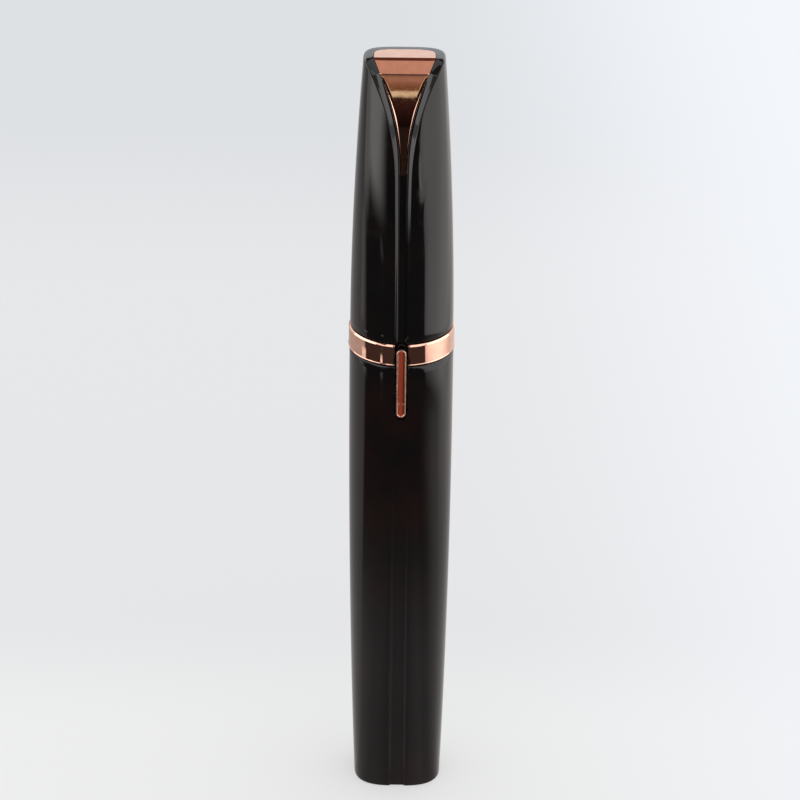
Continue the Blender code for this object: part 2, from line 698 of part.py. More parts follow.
def inlay_mesh(name, margin, drop, thickness):
    """The bent plate of the inlay, or the pocket for it: sunk by drop and as thick as asked."""
    rows = inlay_rows(margin)
    columns = 4
    grid = []
    for y, height, half in rows:
        grid.append([(half * (2 * column / columns - 1), y, height) for column in range(columns + 1)])

    def build(work):
        made = [[work.verts.new(point) for point in row] for row in grid]
        for lower, upper in zip(made, made[1:]):
            for column in range(columns):
                work.faces.new((lower[column], lower[column + 1], upper[column + 1], upper[column]))
        work.normal_update()
        inward = [(vertex, -vertex.normal.copy()) for vertex in work.verts]
        for vertex, direction in inward:
            vertex.co += direction * drop
    mesh = mesh_from(build, name)
    item = place(name, mesh, ROSE_GOLD)
    wall = item.modifiers.new("thickness", "SOLIDIFY")
    wall.thickness = thickness
    wall.offset = -1.0
    wall.use_even_offset = False
    return item


def make_cap():
    """The pull-off cap's shell."""
    rings = []
    stations = 14
    last = PEN_HEIGHT - CAP_TOP_FILLET
    for step in range(stations + 1):
        height = CAP_FOOT + (last - CAP_FOOT) * step / stations
        rings.append(section_ring(*cap_section(height), height))
    fillet_steps = 3
    rings[-1] = [(x, y, top_height(y) - CAP_TOP_FILLET) for x, y, height in rings[-1]]
    half_width, half_depth, squareness = cap_section(PEN_HEIGHT)
    for step in range(1, fillet_steps + 1):
        angle = math.pi / 2 * step / fillet_steps
        inset = CAP_TOP_FILLET * (1 - math.cos(angle))
        drop = CAP_TOP_FILLET * (1 - math.sin(angle))
        ring = section_ring(half_width - inset, half_depth - inset, squareness, 0.0)
        rings.append([(x, y, top_height(y) - drop) for x, y, height in ring])
    cap = place("cap_shell", loft_mesh("cap_shell", rings), GLOSS_BLACK)
    groove = cutter_from("cap_groove", groove_mesh("cap_groove", cap_groove_stations()))
    pocket = hide_as_cutter(inlay_mesh("cap_pocket", SEAT_GAP, -SEAT_GAP, INLAY_THICKNESS + 2 * SEAT_GAP))
    cut(cap, cap_bore(), groove, pocket)
    return cap


def cap_bore():
    """The hollow of the cap, which clears the head also where the head is pulled up inside it."""
    mouth = CAP_BORE_RADIUS
    liner_top = CAP_FOOT + LINER_HEIGHT + SEAT_GAP
    profile = [(0.0, CAP_BORE_TOP), (GUARD_RADIUS, CAP_BORE_TOP)]
    profile.append((GUARD_RIM_RADIUS + CAP_HEAD_GAP, CAP_BORE_TOP - GUARD_HEIGHT))
    profile += [(radius + CAP_HEAD_GAP, height + HEAD_PULL) for radius, height in head_outside()]
    profile += [(mouth, liner_top), (mouth, CAP_FOOT - OVERRUN), (0.0, CAP_FOOT - OVERRUN)]
    return hide_as_cutter(turned("cap_bore", profile, MATT_BLACK, BORE_SEGMENTS, closed=False))


def make_cap_liner():
    """The sleeve inside the cap's mouth that grips the neck."""
    inner = LINER_RADIUS - LINER_WALL
    top = CAP_FOOT + LINER_HEIGHT
    turned("cap_liner", [(LINER_RADIUS, top), (LINER_RADIUS, CAP_FOOT), (inner, CAP_FOOT), (inner, top)],
           MATT_BLACK, BORE_SEGMENTS)


def make_neck():
    """The collar that the band, the cap and the head all seat on, with its seal groove and lamp hole."""
    seal = BAND_TOP + NECK_HEIGHT * SEAL_HEIGHT_SHARE
    groove_floor = NECK_RADIUS + SEAL_STAND_OUT - 2 * SEAL_RADIUS - SEAT_GAP / 2
    groove_half = SEAL_RADIUS + SEAT_GAP / 2
    neck = turned("neck", [
        (NECK_RADIUS, NECK_TOP), (NECK_RADIUS, seal + groove_half), (groove_floor, seal + groove_half),
        (groove_floor, seal - groove_half), (NECK_RADIUS, seal - groove_half), (NECK_RADIUS, BAND_TOP),
        (FLANGE_RADIUS, BAND_TOP), (FLANGE_RADIUS, BAND_FOOT), (NECK_BORE_RADIUS, BAND_FOOT),
        (NECK_BORE_RADIUS, NECK_TOP)], GLOSS_BLACK, BORE_SEGMENTS)
    cut(neck, cutter_from("lamp_hole", forward_rod_mesh(
        "lamp_hole", LENS_RADIUS + SEAT_GAP, NECK_RADIUS + OVERRUN, NECK_BORE_RADIUS - OVERRUN, LAMP_HEIGHT)))
    ring = NECK_RADIUS + SEAL_STAND_OUT - SEAL_RADIUS
    sides = 8
    turned("neck_seal", [
        (ring + SEAL_RADIUS * math.cos(-2 * math.pi * side / sides),
         seal + SEAL_RADIUS * math.sin(-2 * math.pi * side / sides)) for side in range(sides)],
        SEAL_RUBBER, BORE_SEGMENTS)


def make_lamp():
    """The light behind its lens in the neck, with two leads down to the board."""
    lens_back = NECK_BORE_RADIUS
    place("lamp_lens", forward_rod_mesh("lamp_lens", LENS_RADIUS, NECK_RADIUS - LENS_SET_IN, lens_back,
                                        LAMP_HEIGHT), CLEAR_LENS)
    front = lens_back - SEAT_GAP
    back = front - LAMP_LENGTH
    lamp = place("lamp", forward_rod_mesh("lamp", LAMP_RADIUS, front, back, LAMP_HEIGHT), WHITE_PLASTIC)
    rounding = lamp.modifiers.new("dome", "BEVEL")
    rounding.width = LAMP_DOME
    rounding.segments = 2
    board_middle = (BOARD_FRONT + BOARD_BACK) / 2
    for side, name in SIDES:
        x = side * LAMP_LEAD_SPREAD
        wire("lamp_lead_" + name, [
            (x, -(back - SEAT_GAP), LAMP_HEIGHT), (x, -board_middle, LAMP_HEIGHT),
            (x, -board_middle, BOARD_TOP + SEAT_GAP)], LAMP_LEAD_RADIUS, STEEL)


def make_cell():
    """The battery, its jacket and its raised positive end in one turned body."""
    turned("battery_cell", [
        (0.0, NUB_TOP), (NUB_RADIUS, NUB_TOP), (NUB_RADIUS, CELL_TOP), (CELL_RADIUS - CELL_CHAMFER, CELL_TOP),
        (CELL_RADIUS, CELL_TOP - CELL_CHAMFER), (CELL_RADIUS, CELL_FOOT + CELL_CHAMFER),
        (CELL_RADIUS - CELL_CHAMFER, CELL_FOOT), (0.0, CELL_FOOT)], CELL_JACKET, closed=False)


def spring_points():
    """The battery spring's wire, a tapering coil between the foot contact and the battery."""
    low = CELL_FOOT - SPRING_HEIGHT + SPRING_WIRE_RADIUS
    high = CELL_FOOT - SEAT_GAP - SPRING_WIRE_RADIUS
    count = SPRING_TURNS * SPRING_POINTS_PER_TURN
    points = []
    for step in range(count + 1):
        share = step / count
        angle = 2 * math.pi * SPRING_TURNS * share
        radius = SPRING_FOOT_RADIUS + (SPRING_TOP_RADIUS - SPRING_FOOT_RADIUS) * share
        points.append((radius * math.cos(angle), radius * math.sin(angle), low + (high - low) * share))
    return points


def make_spring():
    """The battery spring, with its least gap between curls measured on its points."""
    points = spring_points()
    least = min(
        math.dist(points[first], points[second]) - 2 * SPRING_WIRE_RADIUS
        for first in range(len(points)) for second in range(first + SPRING_POINTS_PER_TURN // 2, len(points)))
    print(f"battery_spring: least gap between curls {least * 1000:.2f} mm")
    wire("battery_spring", points, SPRING_WIRE_RADIUS, NICKEL, smooth=True)


def bent_strip(name, path, thickness, half_width, material):
    """A flat strip bent along a side view of (Y, Z) corners, given anticlockwise about its own section."""
    mesh = plate_mesh(name, path, 2 * half_width)
    for vertex in mesh.vertices:
        y, z, x = vertex.co
        vertex.co = (x, y, z)
    return place(name, mesh, material)


def make_contacts():
    """The strips at the battery's two ends, each running up to a motor terminal."""
    foot = CHASSIS_FOOT + CHASSIS_WALL + SEAT_GAP
    floor_top = foot + CONTACT_THICKNESS
    strip_front = -(STRIP_SETBACK + STRIP_THICKNESS)
    tab_top = DIVIDER_TOP + SEAT_GAP + TERMINAL_LENGTH / 2
    tab_foot = tab_top - STRIP_THICKNESS
    strip_back = -STRIP_SETBACK
    bent_strip("negative_contact", [
        (CONTACT_BACK, foot), (CONTACT_BACK, floor_top), (strip_back, floor_top), (strip_back, tab_foot),
        (strip_back + STRIP_TAB, tab_foot), (strip_back + STRIP_TAB, tab_top), (strip_front, tab_top),
        (strip_front, foot)], STRIP_THICKNESS, CONTACT_HALF_WIDTH, NICKEL)
    low = NUB_TOP + SEAT_GAP
    high = low + CONTACT_THICKNESS
    bent_strip("positive_contact", [
        (-NUB_RADIUS, low), (CONTACT_BACK, low), (CONTACT_BACK, tab_top),
        (CONTACT_BACK - CONTACT_THICKNESS, tab_top), (CONTACT_BACK - CONTACT_THICKNESS, high),
        (-NUB_RADIUS, high)],
        CONTACT_THICKNESS, CONTACT_HALF_WIDTH, NICKEL)


def make_chassis():
    """The tray that carries the battery and motor, and the clamp that closes over the motor."""
    top = BARREL_HEIGHT
    foot_radius = bore_radius(CHASSIS_FOOT) - SEAT_GAP
    top_radius = bore_radius(top) - SEAT_GAP
    tray = place("chassis_tray", rod_mesh("chassis_tray", foot_radius, CHASSIS_FOOT, top, BORE_SEGMENTS,
                                          top_radius=top_radius), MATT_BLACK)
    reach = BAND_RADIUS
    cell_bay = cutter_from("cell_bay", rod_mesh(
        "cell_bay", CELL_RADIUS + BAY_GAP, CHASSIS_FOOT + CHASSIS_WALL, DIVIDER_FOOT, BORE_SEGMENTS))
    cell_front = cutter_from("cell_front", box_mesh(
        "cell_front", (-reach, -reach, CHASSIS_FOOT + CHASSIS_WALL), (reach, 0.0, DIVIDER_FOOT)))
    motor_bay = cutter_from("motor_bay", rod_mesh(
        "motor_bay", MOTOR_BAY_RADIUS, DIVIDER_TOP, top + OVERRUN, BORE_SEGMENTS))
    motor_front = cutter_from("motor_front", box_mesh(
        "motor_front", (-reach, -reach, DIVIDER_TOP), (reach, 0.0, top + OVERRUN)))
    strip_reach = CONTACT_HALF_WIDTH + SEAT_GAP
    strip_notch = cutter_from("strip_notch", box_mesh(
        "strip_notch", (-strip_reach, -reach, DIVIDER_FOOT - OVERRUN),
        (strip_reach, -STRIP_SETBACK + SEAT_GAP, DIVIDER_TOP + OVERRUN)))
    tab_slot = cutter_from("tab_slot", box_mesh(
        "tab_slot", (-strip_reach, CONTACT_BACK - CONTACT_THICKNESS - SEAT_GAP, DIVIDER_FOOT - OVERRUN),
        (strip_reach, CONTACT_BACK + SEAT_GAP, DIVIDER_TOP + OVERRUN)))
    cut(tray, cell_bay, cell_front, motor_bay, motor_front, strip_notch, tab_slot)
    low = DIVIDER_TOP + SEAT_GAP
    clamp = place("motor_clamp", rod_mesh(
        "motor_clamp", bore_radius(low) - SEAT_GAP, low, MOTOR_PLATE_TOP, BORE_SEGMENTS,
        top_radius=bore_radius(MOTOR_PLATE_TOP) - SEAT_GAP), MATT_BLACK)
    clamp_bay = cutter_from("clamp_bay", rod_mesh(
        "clamp_bay", MOTOR_BAY_RADIUS, low - OVERRUN, MOTOR_PLATE_TOP + OVERRUN, BORE_SEGMENTS))
    clamp_back = cutter_from("clamp_back", box_mesh(
        "clamp_back", (-reach, -SEAT_GAP, low - OVERRUN), (reach, reach, MOTOR_PLATE_TOP + OVERRUN)))
    clamp_notch = cutter_from("clamp_notch", box_mesh(
        "clamp_notch", (-strip_reach, -reach, low - OVERRUN),
        (strip_reach, -STRIP_SETBACK + SEAT_GAP, DIVIDER_TOP + TERMINAL_LENGTH)))
    cut(clamp, clamp_bay, clamp_back, clamp_notch)


def make_motor():
    """The motor's can, end cap and terminals, and the plate and screws that hold it."""
    can = MOTOR_RADIUS - MOTOR_CHAMFER
    turned("motor_can", [
        (0.0, MOTOR_TOP + BOSS_HEIGHT), (BOSS_RADIUS, MOTOR_TOP + BOSS_HEIGHT), (BOSS_RADIUS, MOTOR_TOP),
        (can, MOTOR_TOP), (MOTOR_RADIUS, MOTOR_TOP - MOTOR_CHAMFER), (MOTOR_RADIUS, MOTOR_FOOT),
        (0.0, MOTOR_FOOT)],
        STEEL, closed=False)
    cap_top = MOTOR_FOOT - SEAT_GAP
    cap_foot = cap_top - END_CAP_HEIGHT
    place("motor_end_cap", rod_mesh("motor_end_cap", END_CAP_RADIUS, cap_foot, cap_top), CREAM_PLASTIC)
    low = cap_foot - SEAT_GAP - TERMINAL_LENGTH
    high = cap_foot - SEAT_GAP

    for side, name in SIDES:
        middle = side * TERMINAL_SPREAD
        terminal = "motor_terminal_" + name
        place(terminal, box_mesh(
            terminal, (middle - TERMINAL_THICKNESS / 2, -TERMINAL_WIDTH / 2, low),
            (middle + TERMINAL_THICKNESS / 2, TERMINAL_WIDTH / 2, high)), COPPER)
    plate_radius = MOTOR_BAY_RADIUS - SEAT_GAP
    plate = place("motor_plate", rod_mesh("motor_plate", plate_radius, MOTOR_PLATE_FOOT, MOTOR_PLATE_TOP,
                                          BORE_SEGMENTS), STEEL)
    below = MOTOR_PLATE_FOOT - OVERRUN
    above = MOTOR_PLATE_TOP + OVERRUN
    holes = [cutter_from("boss_hole", rod_mesh("boss_hole", BOSS_RADIUS + SEAT_GAP, below, above))]
    for side, name in SIDES:
        notch = "lead_notch_" + name
        holes.append(cutter_from(notch, rod_mesh(notch, LEAD_RADIUS + SEAT_GAP, below, above, SMALL_SEGMENTS,
                                                 (side * LEAD_SIDE, -LEAD_FRONT))))
    cut(plate, *holes)
    head_foot = MOTOR_PLATE_TOP + SEAT_GAP
    head_top = head_foot + SCREW_HEAD_HEIGHT
    reach = SCREW_SPREAD + SCREW_HEAD_RADIUS + OVERRUN
    slot = cutter_from("screw_slot", box_mesh(
        "screw_slot", (-reach, -SCREW_SLOT_WIDTH / 2, head_top - SCREW_HEAD_HEIGHT / 2),
        (reach, SCREW_SLOT_WIDTH / 2, head_top + OVERRUN)))
    for side, name in SIDES:
        screw = "motor_screw_" + name
        cut(place(screw, rod_mesh(screw, SCREW_HEAD_RADIUS, head_foot, head_top, SMALL_SEGMENTS,
                                  (side * SCREW_SPREAD, 0.0)), STEEL), slot)


def make_motor_leads():
    """The two leads from the motor's terminals up past the motor to the board."""
    terminal_height = DIVIDER_TOP + SEAT_GAP + TERMINAL_LENGTH / 2
    start_front = TERMINAL_WIDTH / 2 + SEAT_GAP + LEAD_RADIUS
    board_front = BOARD_FRONT + SEAT_GAP + LEAD_RADIUS
    for side, name, material in ((-1, "lead_black", MATT_BLACK), (1, "lead_red", RED_LEAD)):
        points = [
            (side * TERMINAL_SPREAD, -start_front, terminal_height),
            (side * (TERMINAL_SPREAD + LEAD_SIDE) / 2, -(start_front + LEAD_FRONT) / 2, terminal_height),
            (side * LEAD_SIDE, -LEAD_FRONT, terminal_height + 2 * LEAD_RADIUS),
            (side * LEAD_SIDE, -LEAD_FRONT, MOTOR_TOP),
            (side * LEAD_SIDE, -LEAD_FRONT, BOARD_FOOT),
            (side * LEAD_SIDE, -board_front, BOARD_FOOT + 4 * LEAD_RADIUS)]
        wire(name, points, LEAD_RADIUS, material)


def make_board():
    """The circuit board with its slide switch, chip and coil, upright behind the switch."""
    place("switch_board", box_mesh(
        "switch_board", (-BOARD_HALF_WIDTH, -BOARD_FRONT, BOARD_FOOT),
        (BOARD_HALF_WIDTH, -BOARD_BACK, BOARD_TOP)), BOARD_GREEN)
    low = BAR_MIDDLE - SWITCH_CASE_HEIGHT / 2
    high = BAR_MIDDLE + SWITCH_CASE_HEIGHT / 2
    place("slide_switch_case", box_mesh(
        "slide_switch_case", (-SWITCH_CASE_HALF_WIDTH, -SWITCH_CASE_FRONT, low),
        (SWITCH_CASE_HALF_WIDTH, -SWITCH_CASE_BACK, high)), STEEL)
    part_front = BOARD_FRONT + SEAT_GAP
    part_middle = (SWITCH_CASE_HALF_WIDTH + BOARD_HALF_WIDTH) / 2
    place("board_chip", box_mesh(
        "board_chip",
        (part_middle - CHIP_SIZE / 2, -(part_front + CHIP_THICKNESS), BAR_MIDDLE - CHIP_SIZE / 2),
        (part_middle + CHIP_SIZE / 2, -part_front, BAR_MIDDLE + CHIP_SIZE / 2)), MATT_BLACK)
    coil = forward_rod_mesh("board_coil", COIL_RADIUS, part_front + COIL_HEIGHT, part_front, BAR_MIDDLE)
    for vertex in coil.vertices:
        vertex.co.x -= part_middle
    place("board_coil", coil, COPPER)


def make_track():
    """The plate behind the barrel's slot that guides the switch."""
    half = TRACK_HALF_WIDTH
    low = MOTOR_PLATE_TOP + SEAT_GAP
    track = place("switch_track", box_mesh(
        "switch_track", (-half, -TRACK_FRONT, low), (half, -TRACK_BACK, BARREL_HEIGHT)), MATT_BLACK)
    length = STEM_HEIGHT + SWITCH_TRAVEL + 2 * SEAT_GAP
    slot = plate_mesh("stem_slot", capsule_outline(STEM_HALF_WIDTH + SEAT_GAP, length + 2 * STEM_HALF_WIDTH),
                      TRACK_THICKNESS + 2 * OVERRUN)
    middle = (TRACK_FRONT + TRACK_BACK) / 2
    stand_up(slot, middle, middle, BAR_MIDDLE + SWITCH_TRAVEL / 2)
    cut(track, cutter_from("stem_slot", slot))


def make_switch():
    """The switch's dished bar outside the barrel and the carriage behind it, joined by a stem."""
    outline = capsule_outline(BAR_HALF_WIDTH, BAR_LENGTH)
    plate = plate_mesh("switch_bar", outline, BAR_THICKNESS)
    bar = place("switch_bar", stand_up(plate, BAR_FRONT, BAR_BACK, BAR_MIDDLE), ROSE_GOLD)
    dish_outline = capsule_outline(BAR_HALF_WIDTH - BAR_RIM, BAR_LENGTH - 2 * BAR_RIM)
    dish = plate_mesh("bar_dish", dish_outline, 2 * BAR_DISH)
    cut(bar, cutter_from("bar_dish", stand_up(dish, BAR_FRONT, BAR_FRONT, BAR_MIDDLE)))
    carriage = place("switch_carriage", box_mesh(
        "switch_carriage", (-CARRIAGE_HALF_WIDTH, -CARRIAGE_FRONT, BAR_MIDDLE - CARRIAGE_HEIGHT / 2),
        (CARRIAGE_HALF_WIDTH, -CARRIAGE_BACK, BAR_MIDDLE + CARRIAGE_HEIGHT / 2)), MATT_BLACK)
    stem = hide_as_cutter(place("carriage_stem", box_mesh(
        "carriage_stem", (-STEM_HALF_WIDTH, -(BAR_BACK - SEAT_GAP), BAR_MIDDLE - STEM_HEIGHT / 2),
        (STEM_HALF_WIDTH, -(CARRIAGE_FRONT - CARRIAGE_THICKNESS / 2), BAR_MIDDLE + STEM_HEIGHT / 2)),
        MATT_BLACK))
    union = carriage.modifiers.new("join_stem", "BOOLEAN")
    union.operation = "UNION"
    union.solver = "EXACT"
    union.object = stem


def make_drive():
    """The motor's shaft and the coupling that turns the cutter's spindle."""
    shaft = rod_mesh("motor_shaft", SHAFT_RADIUS, SHAFT_FOOT, SHAFT_TOP, SMALL_SEGMENTS)
    place("motor_shaft", shaft, STEEL)
    sleeve = rod_mesh("drive_coupling", COUPLING_RADIUS, COUPLING_FOOT, COUPLING_TOP)
    coupling = place("drive_coupling", sleeve, CREAM_PLASTIC)
    shaft_hole = cutter_from("shaft_hole", rod_mesh(
        "shaft_hole", SHAFT_RADIUS + RUNNING_GAP, COUPLING_FOOT - OVERRUN, SHAFT_TOP + SEAT_GAP,
        SMALL_SEGMENTS))
    socket = cutter_from("spindle_socket", rod_mesh(
        "spindle_socket", SPINDLE_RADIUS + 2 * RUNNING_GAP, SOCKET_FOOT, COUPLING_TOP + OVERRUN,
        HEXAGON_SIDES))
    cut(coupling, shaft_hole, socket)


def spindle_ring(radius, height, hexagonal):
    """A ring of points round the spindle, on a circle or on a hexagon's corners and sides."""
    points = []
    count = 2 * HEXAGON_SIDES
    for step in range(count):
        angle = 2 * math.pi * step / count
        on_side = hexagonal and step % 2 == 1
        reach = radius * math.cos(math.pi / HEXAGON_SIDES) if on_side else radius
        points.append((reach * math.cos(angle), reach * math.sin(angle), height))
    return points


def make_cutter():
    """The spindle, hub and blade that spin inside the head."""
    hexagon_top = HEAD_FOOT - SPIGOT_DEPTH
    rings = [
        spindle_ring(SPINDLE_RADIUS, SPINDLE_FOOT, True), spindle_ring(SPINDLE_RADIUS, hexagon_top, True),
        spindle_ring(SPINDLE_RADIUS, hexagon_top + SPINDLE_RADIUS, False),
        spindle_ring(SPINDLE_RADIUS, HUB_FOOT - SEAT_GAP, False)]
    place("cutter_spindle", loft_mesh("cutter_spindle", rings), WHITE_PLASTIC)
    hub = rod_mesh("cutter_hub", BLADE_HUB_RADIUS, HUB_FOOT, HUB_TOP, SMALL_SEGMENTS)
    place("cutter_hub", hub, WHITE_PLASTIC)
    reach = GUARD_RADIUS - GUARD_WALL - RUNNING_GAP
    root = BLADE_HUB_RADIUS
    outline = []
    for arm in range(BLADE_ARMS):
        middle = 2 * math.pi * arm / BLADE_ARMS
        root_turn = math.asin(BLADE_ARM_HALF_WIDTH / root)
        tip_turn = math.asin(BLADE_ARM_HALF_WIDTH / reach)
        corners = ((root, middle - root_turn), (reach, middle - tip_turn), (reach, middle + tip_turn),
                   (root, middle + root_turn))
        for radius, angle in corners:
            outline.append((radius * math.cos(angle), radius * math.sin(angle)))
    blade = plate_mesh("cutter_blade", outline, BLADE_THICKNESS)
    for vertex in blade.vertices:
        vertex.co.z += (BLADE_FOOT + BLADE_TOP) / 2
    place("cutter_blade", blade, STEEL)


def head_outside(steps=7):
    """The head's outer side as (radius, height) pairs from the top down, drawn in at its waist."""
    waist = HEAD_TOP_RADIUS + (NECK_RADIUS - HEAD_TOP_RADIUS) * HEAD_WAIST_SHARE
    middle_height = (HEAD_TOP + HEAD_FOOT) / 2
    points = []
    for step in range(steps + 1):
        share = step / steps
        near = (1 - share) ** 2
        middle = 2 * share * (1 - share)
        far = share ** 2
        points.append((near * HEAD_TOP_RADIUS + middle * waist + far * NECK_RADIUS,
                       near * HEAD_TOP + middle * middle_height + far * HEAD_FOOT))
    return points


def head_inner_radius(height):
    """The radius of the head's hollow at a height."""
    points = head_outside()
    for (high_radius, high), (low_radius, low) in zip(points, points[1:]):
        if height >= low:
            return low_radius + (high_radius - low_radius) * (height - low) / (high - low) - HEAD_WALL
    return NECK_RADIUS - HEAD_WALL


def make_head():
    """The pull-off head: its shell, the bush for the spindle and the slotted guard over the cutter."""
    spigot = NECK_BORE_RADIUS - SEAT_GAP
    spigot_foot = HEAD_FOOT - SPIGOT_DEPTH
    outside = head_outside()
    inside = [(radius - HEAD_WALL, height) for radius, height in reversed(outside[:-1])]
    plug = [(spigot, HEAD_FOOT), (spigot, spigot_foot), (spigot - SPIGOT_WALL, spigot_foot),
            (spigot - SPIGOT_WALL, HEAD_FOOT)]
    turned("head_shell", outside + plug + inside, ROSE_GOLD, BORE_SEGMENTS)
    level = HEAD_FOOT + HEAD_HEIGHT * BUSH_LEVEL_SHARE
    rim = head_inner_radius(level + BUSH_HEIGHT / 2) - SEAT_GAP
    hole = SPINDLE_RADIUS + RUNNING_GAP
    boss = hole + BUSH_WALL
    turned("head_bush", [
        (boss, level + BUSH_HEIGHT), (boss, level + BUSH_HEIGHT / 2),
        (rim, level + BUSH_HEIGHT / 2), (rim, level), (hole, level), (hole, level + BUSH_HEIGHT)],
        WHITE_PLASTIC)
    inner = GUARD_RADIUS - GUARD_WALL
    rim_top = GUARD_FOOT + GUARD_RIM_HEIGHT
    guard = turned("cutter_guard", [
        (0.0, GUARD_TOP), (inner, GUARD_TOP), (GUARD_RADIUS, GUARD_TOP - GUARD_WALL), (GUARD_RADIUS, rim_top),
        (GUARD_RIM_RADIUS, rim_top), (GUARD_RIM_RADIUS, GUARD_FOOT), (inner, GUARD_FOOT),
        (inner, GUARD_TOP - GUARD_WALL), (0.0, GUARD_TOP - GUARD_WALL)], SOFT_GOLD, closed=False)
    slot_length = GUARD_RADIUS - GUARD_SLOT_MARGIN - GUARD_SLOT_INNER

    def add_slots(work):
        for slot in range(GUARD_SLOTS):
            angle = 2 * math.pi * (slot + 0.5) / GUARD_SLOTS
            made = bmesh.ops.create_cube(work, size=1.0)
            for vertex in made["verts"]:
                along = GUARD_SLOT_INNER + (vertex.co.x + 0.5) * slot_length
                across = vertex.co.y * GUARD_SLOT_WIDTH
                vertex.co = (along * math.cos(angle) - across * math.sin(angle),
                             along * math.sin(angle) + across * math.cos(angle),
                             GUARD_TOP + vertex.co.z * 4 * GUARD_WALL)

    cut(guard, cutter_from("guard_slots", mesh_from(add_slots, "guard_slots")))


make_barrel()
make_chassis()
make_cell()
make_spring()
make_contacts()
make_motor()
make_motor_leads()
make_board()
make_track()
make_neck()
make_lamp()
make_band()
make_switch()
make_drive()
make_head()
make_cutter()
make_cap()
inlay_mesh("cap_inlay", 0.0, 0.0, INLAY_THICKNESS)
make_cap_liner()
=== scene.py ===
"""Looks of the electric eyebrow trimmer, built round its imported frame.

The pen stands on the origin, runs up +Z and faces -Y. Lengths are metres.
"""

import json
import math

import bpy
from bpy.props import FloatProperty, FloatVectorProperty, IntProperty, PointerProperty
from mathutils import Matrix, Vector


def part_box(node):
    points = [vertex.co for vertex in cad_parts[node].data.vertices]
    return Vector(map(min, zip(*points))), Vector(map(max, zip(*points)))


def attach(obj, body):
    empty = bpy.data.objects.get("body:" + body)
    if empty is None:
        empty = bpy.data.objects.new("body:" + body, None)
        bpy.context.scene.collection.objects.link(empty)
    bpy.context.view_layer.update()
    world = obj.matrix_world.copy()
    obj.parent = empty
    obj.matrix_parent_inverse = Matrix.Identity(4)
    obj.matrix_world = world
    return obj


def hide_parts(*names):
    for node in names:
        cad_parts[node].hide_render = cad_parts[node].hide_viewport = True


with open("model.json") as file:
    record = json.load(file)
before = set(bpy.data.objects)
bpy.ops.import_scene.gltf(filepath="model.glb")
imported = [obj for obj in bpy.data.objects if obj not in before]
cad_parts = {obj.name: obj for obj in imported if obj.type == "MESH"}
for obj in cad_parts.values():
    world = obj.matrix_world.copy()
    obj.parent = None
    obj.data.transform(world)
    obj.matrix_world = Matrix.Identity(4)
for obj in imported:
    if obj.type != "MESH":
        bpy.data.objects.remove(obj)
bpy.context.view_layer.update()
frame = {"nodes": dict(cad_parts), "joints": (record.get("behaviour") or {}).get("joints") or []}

bl_info = {
    "name": "Eyebrow Trimmer",
    "version": (1, 0, 0),
    "blender": (4, 5, 0),
    "location": "3D View > Sidebar > Trimmer",
    "description": "Models the finish of a pen-shaped eyebrow trimmer round its frame",
    "category": "Add Mesh",
}

PREFIX = "trimmer_"
NODES = frame["nodes"]
HEAD_PULL = next(joint["range_m"][1] for joint in frame["joints"] if joint["name"] == "head_slide")

# Places read from the frame
BARREL_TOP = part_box("barrel_shell")[1].z
BARREL_HALF_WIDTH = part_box("barrel_shell")[1].x
BAND_FOOT, BAND_TOP = (corner.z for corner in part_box("collar_band"))
BAND_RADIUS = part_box("collar_band")[1].x
CAP_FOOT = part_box("cap_shell")[0].z
CAP_HALF_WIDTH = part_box("cap_shell")[1].x
PEN_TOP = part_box("cap_inlay")[1].z
INLAY_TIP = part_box("cap_inlay")[0].z
INLAY_HALF_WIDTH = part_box("cap_inlay")[1].x
LINER_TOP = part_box("cap_liner")[1].z
LINER_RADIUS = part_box("cap_liner")[1].x
NECK_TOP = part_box("neck")[1].z
SEAL_FOOT, SEAL_TOP = (corner.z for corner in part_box("neck_seal"))
SEAL_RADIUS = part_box("neck_seal")[1].x
HEAD_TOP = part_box("head_shell")[1].z
HEAD_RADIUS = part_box("head_shell")[1].x
SPIGOT_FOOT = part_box("head_shell")[0].z
GUARD_FOOT, GUARD_TOP = (corner.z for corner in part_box("cutter_guard"))
GUARD_RIM_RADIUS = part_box("cutter_guard")[1].x
LENS_LOW, LENS_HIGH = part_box("lamp_lens")
CELL_LOW, CELL_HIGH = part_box("battery_cell")
SPRING_LOW, SPRING_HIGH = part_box("battery_spring")
BAR_LOW, BAR_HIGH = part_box("switch_bar")
GAP = CAP_FOOT - BAND_TOP


def length(name, description, default):
    return FloatProperty(name=name, description=description, default=default, unit="LENGTH", precision=5)


def share(name, description, default):
    return FloatProperty(name=name, description=description, default=default, min=0.0, subtype="FACTOR")


def plain(name, description, default):
    return FloatProperty(name=name, description=description, default=default)


def turn(name, description, degrees):
    return FloatProperty(name=name, description=description, default=math.radians(degrees), subtype="ANGLE")


def colour(name, description, default):
    return FloatVectorProperty(name=name, description=description, default=default, size=3, min=0.0, max=1.0,
                               subtype="COLOR")


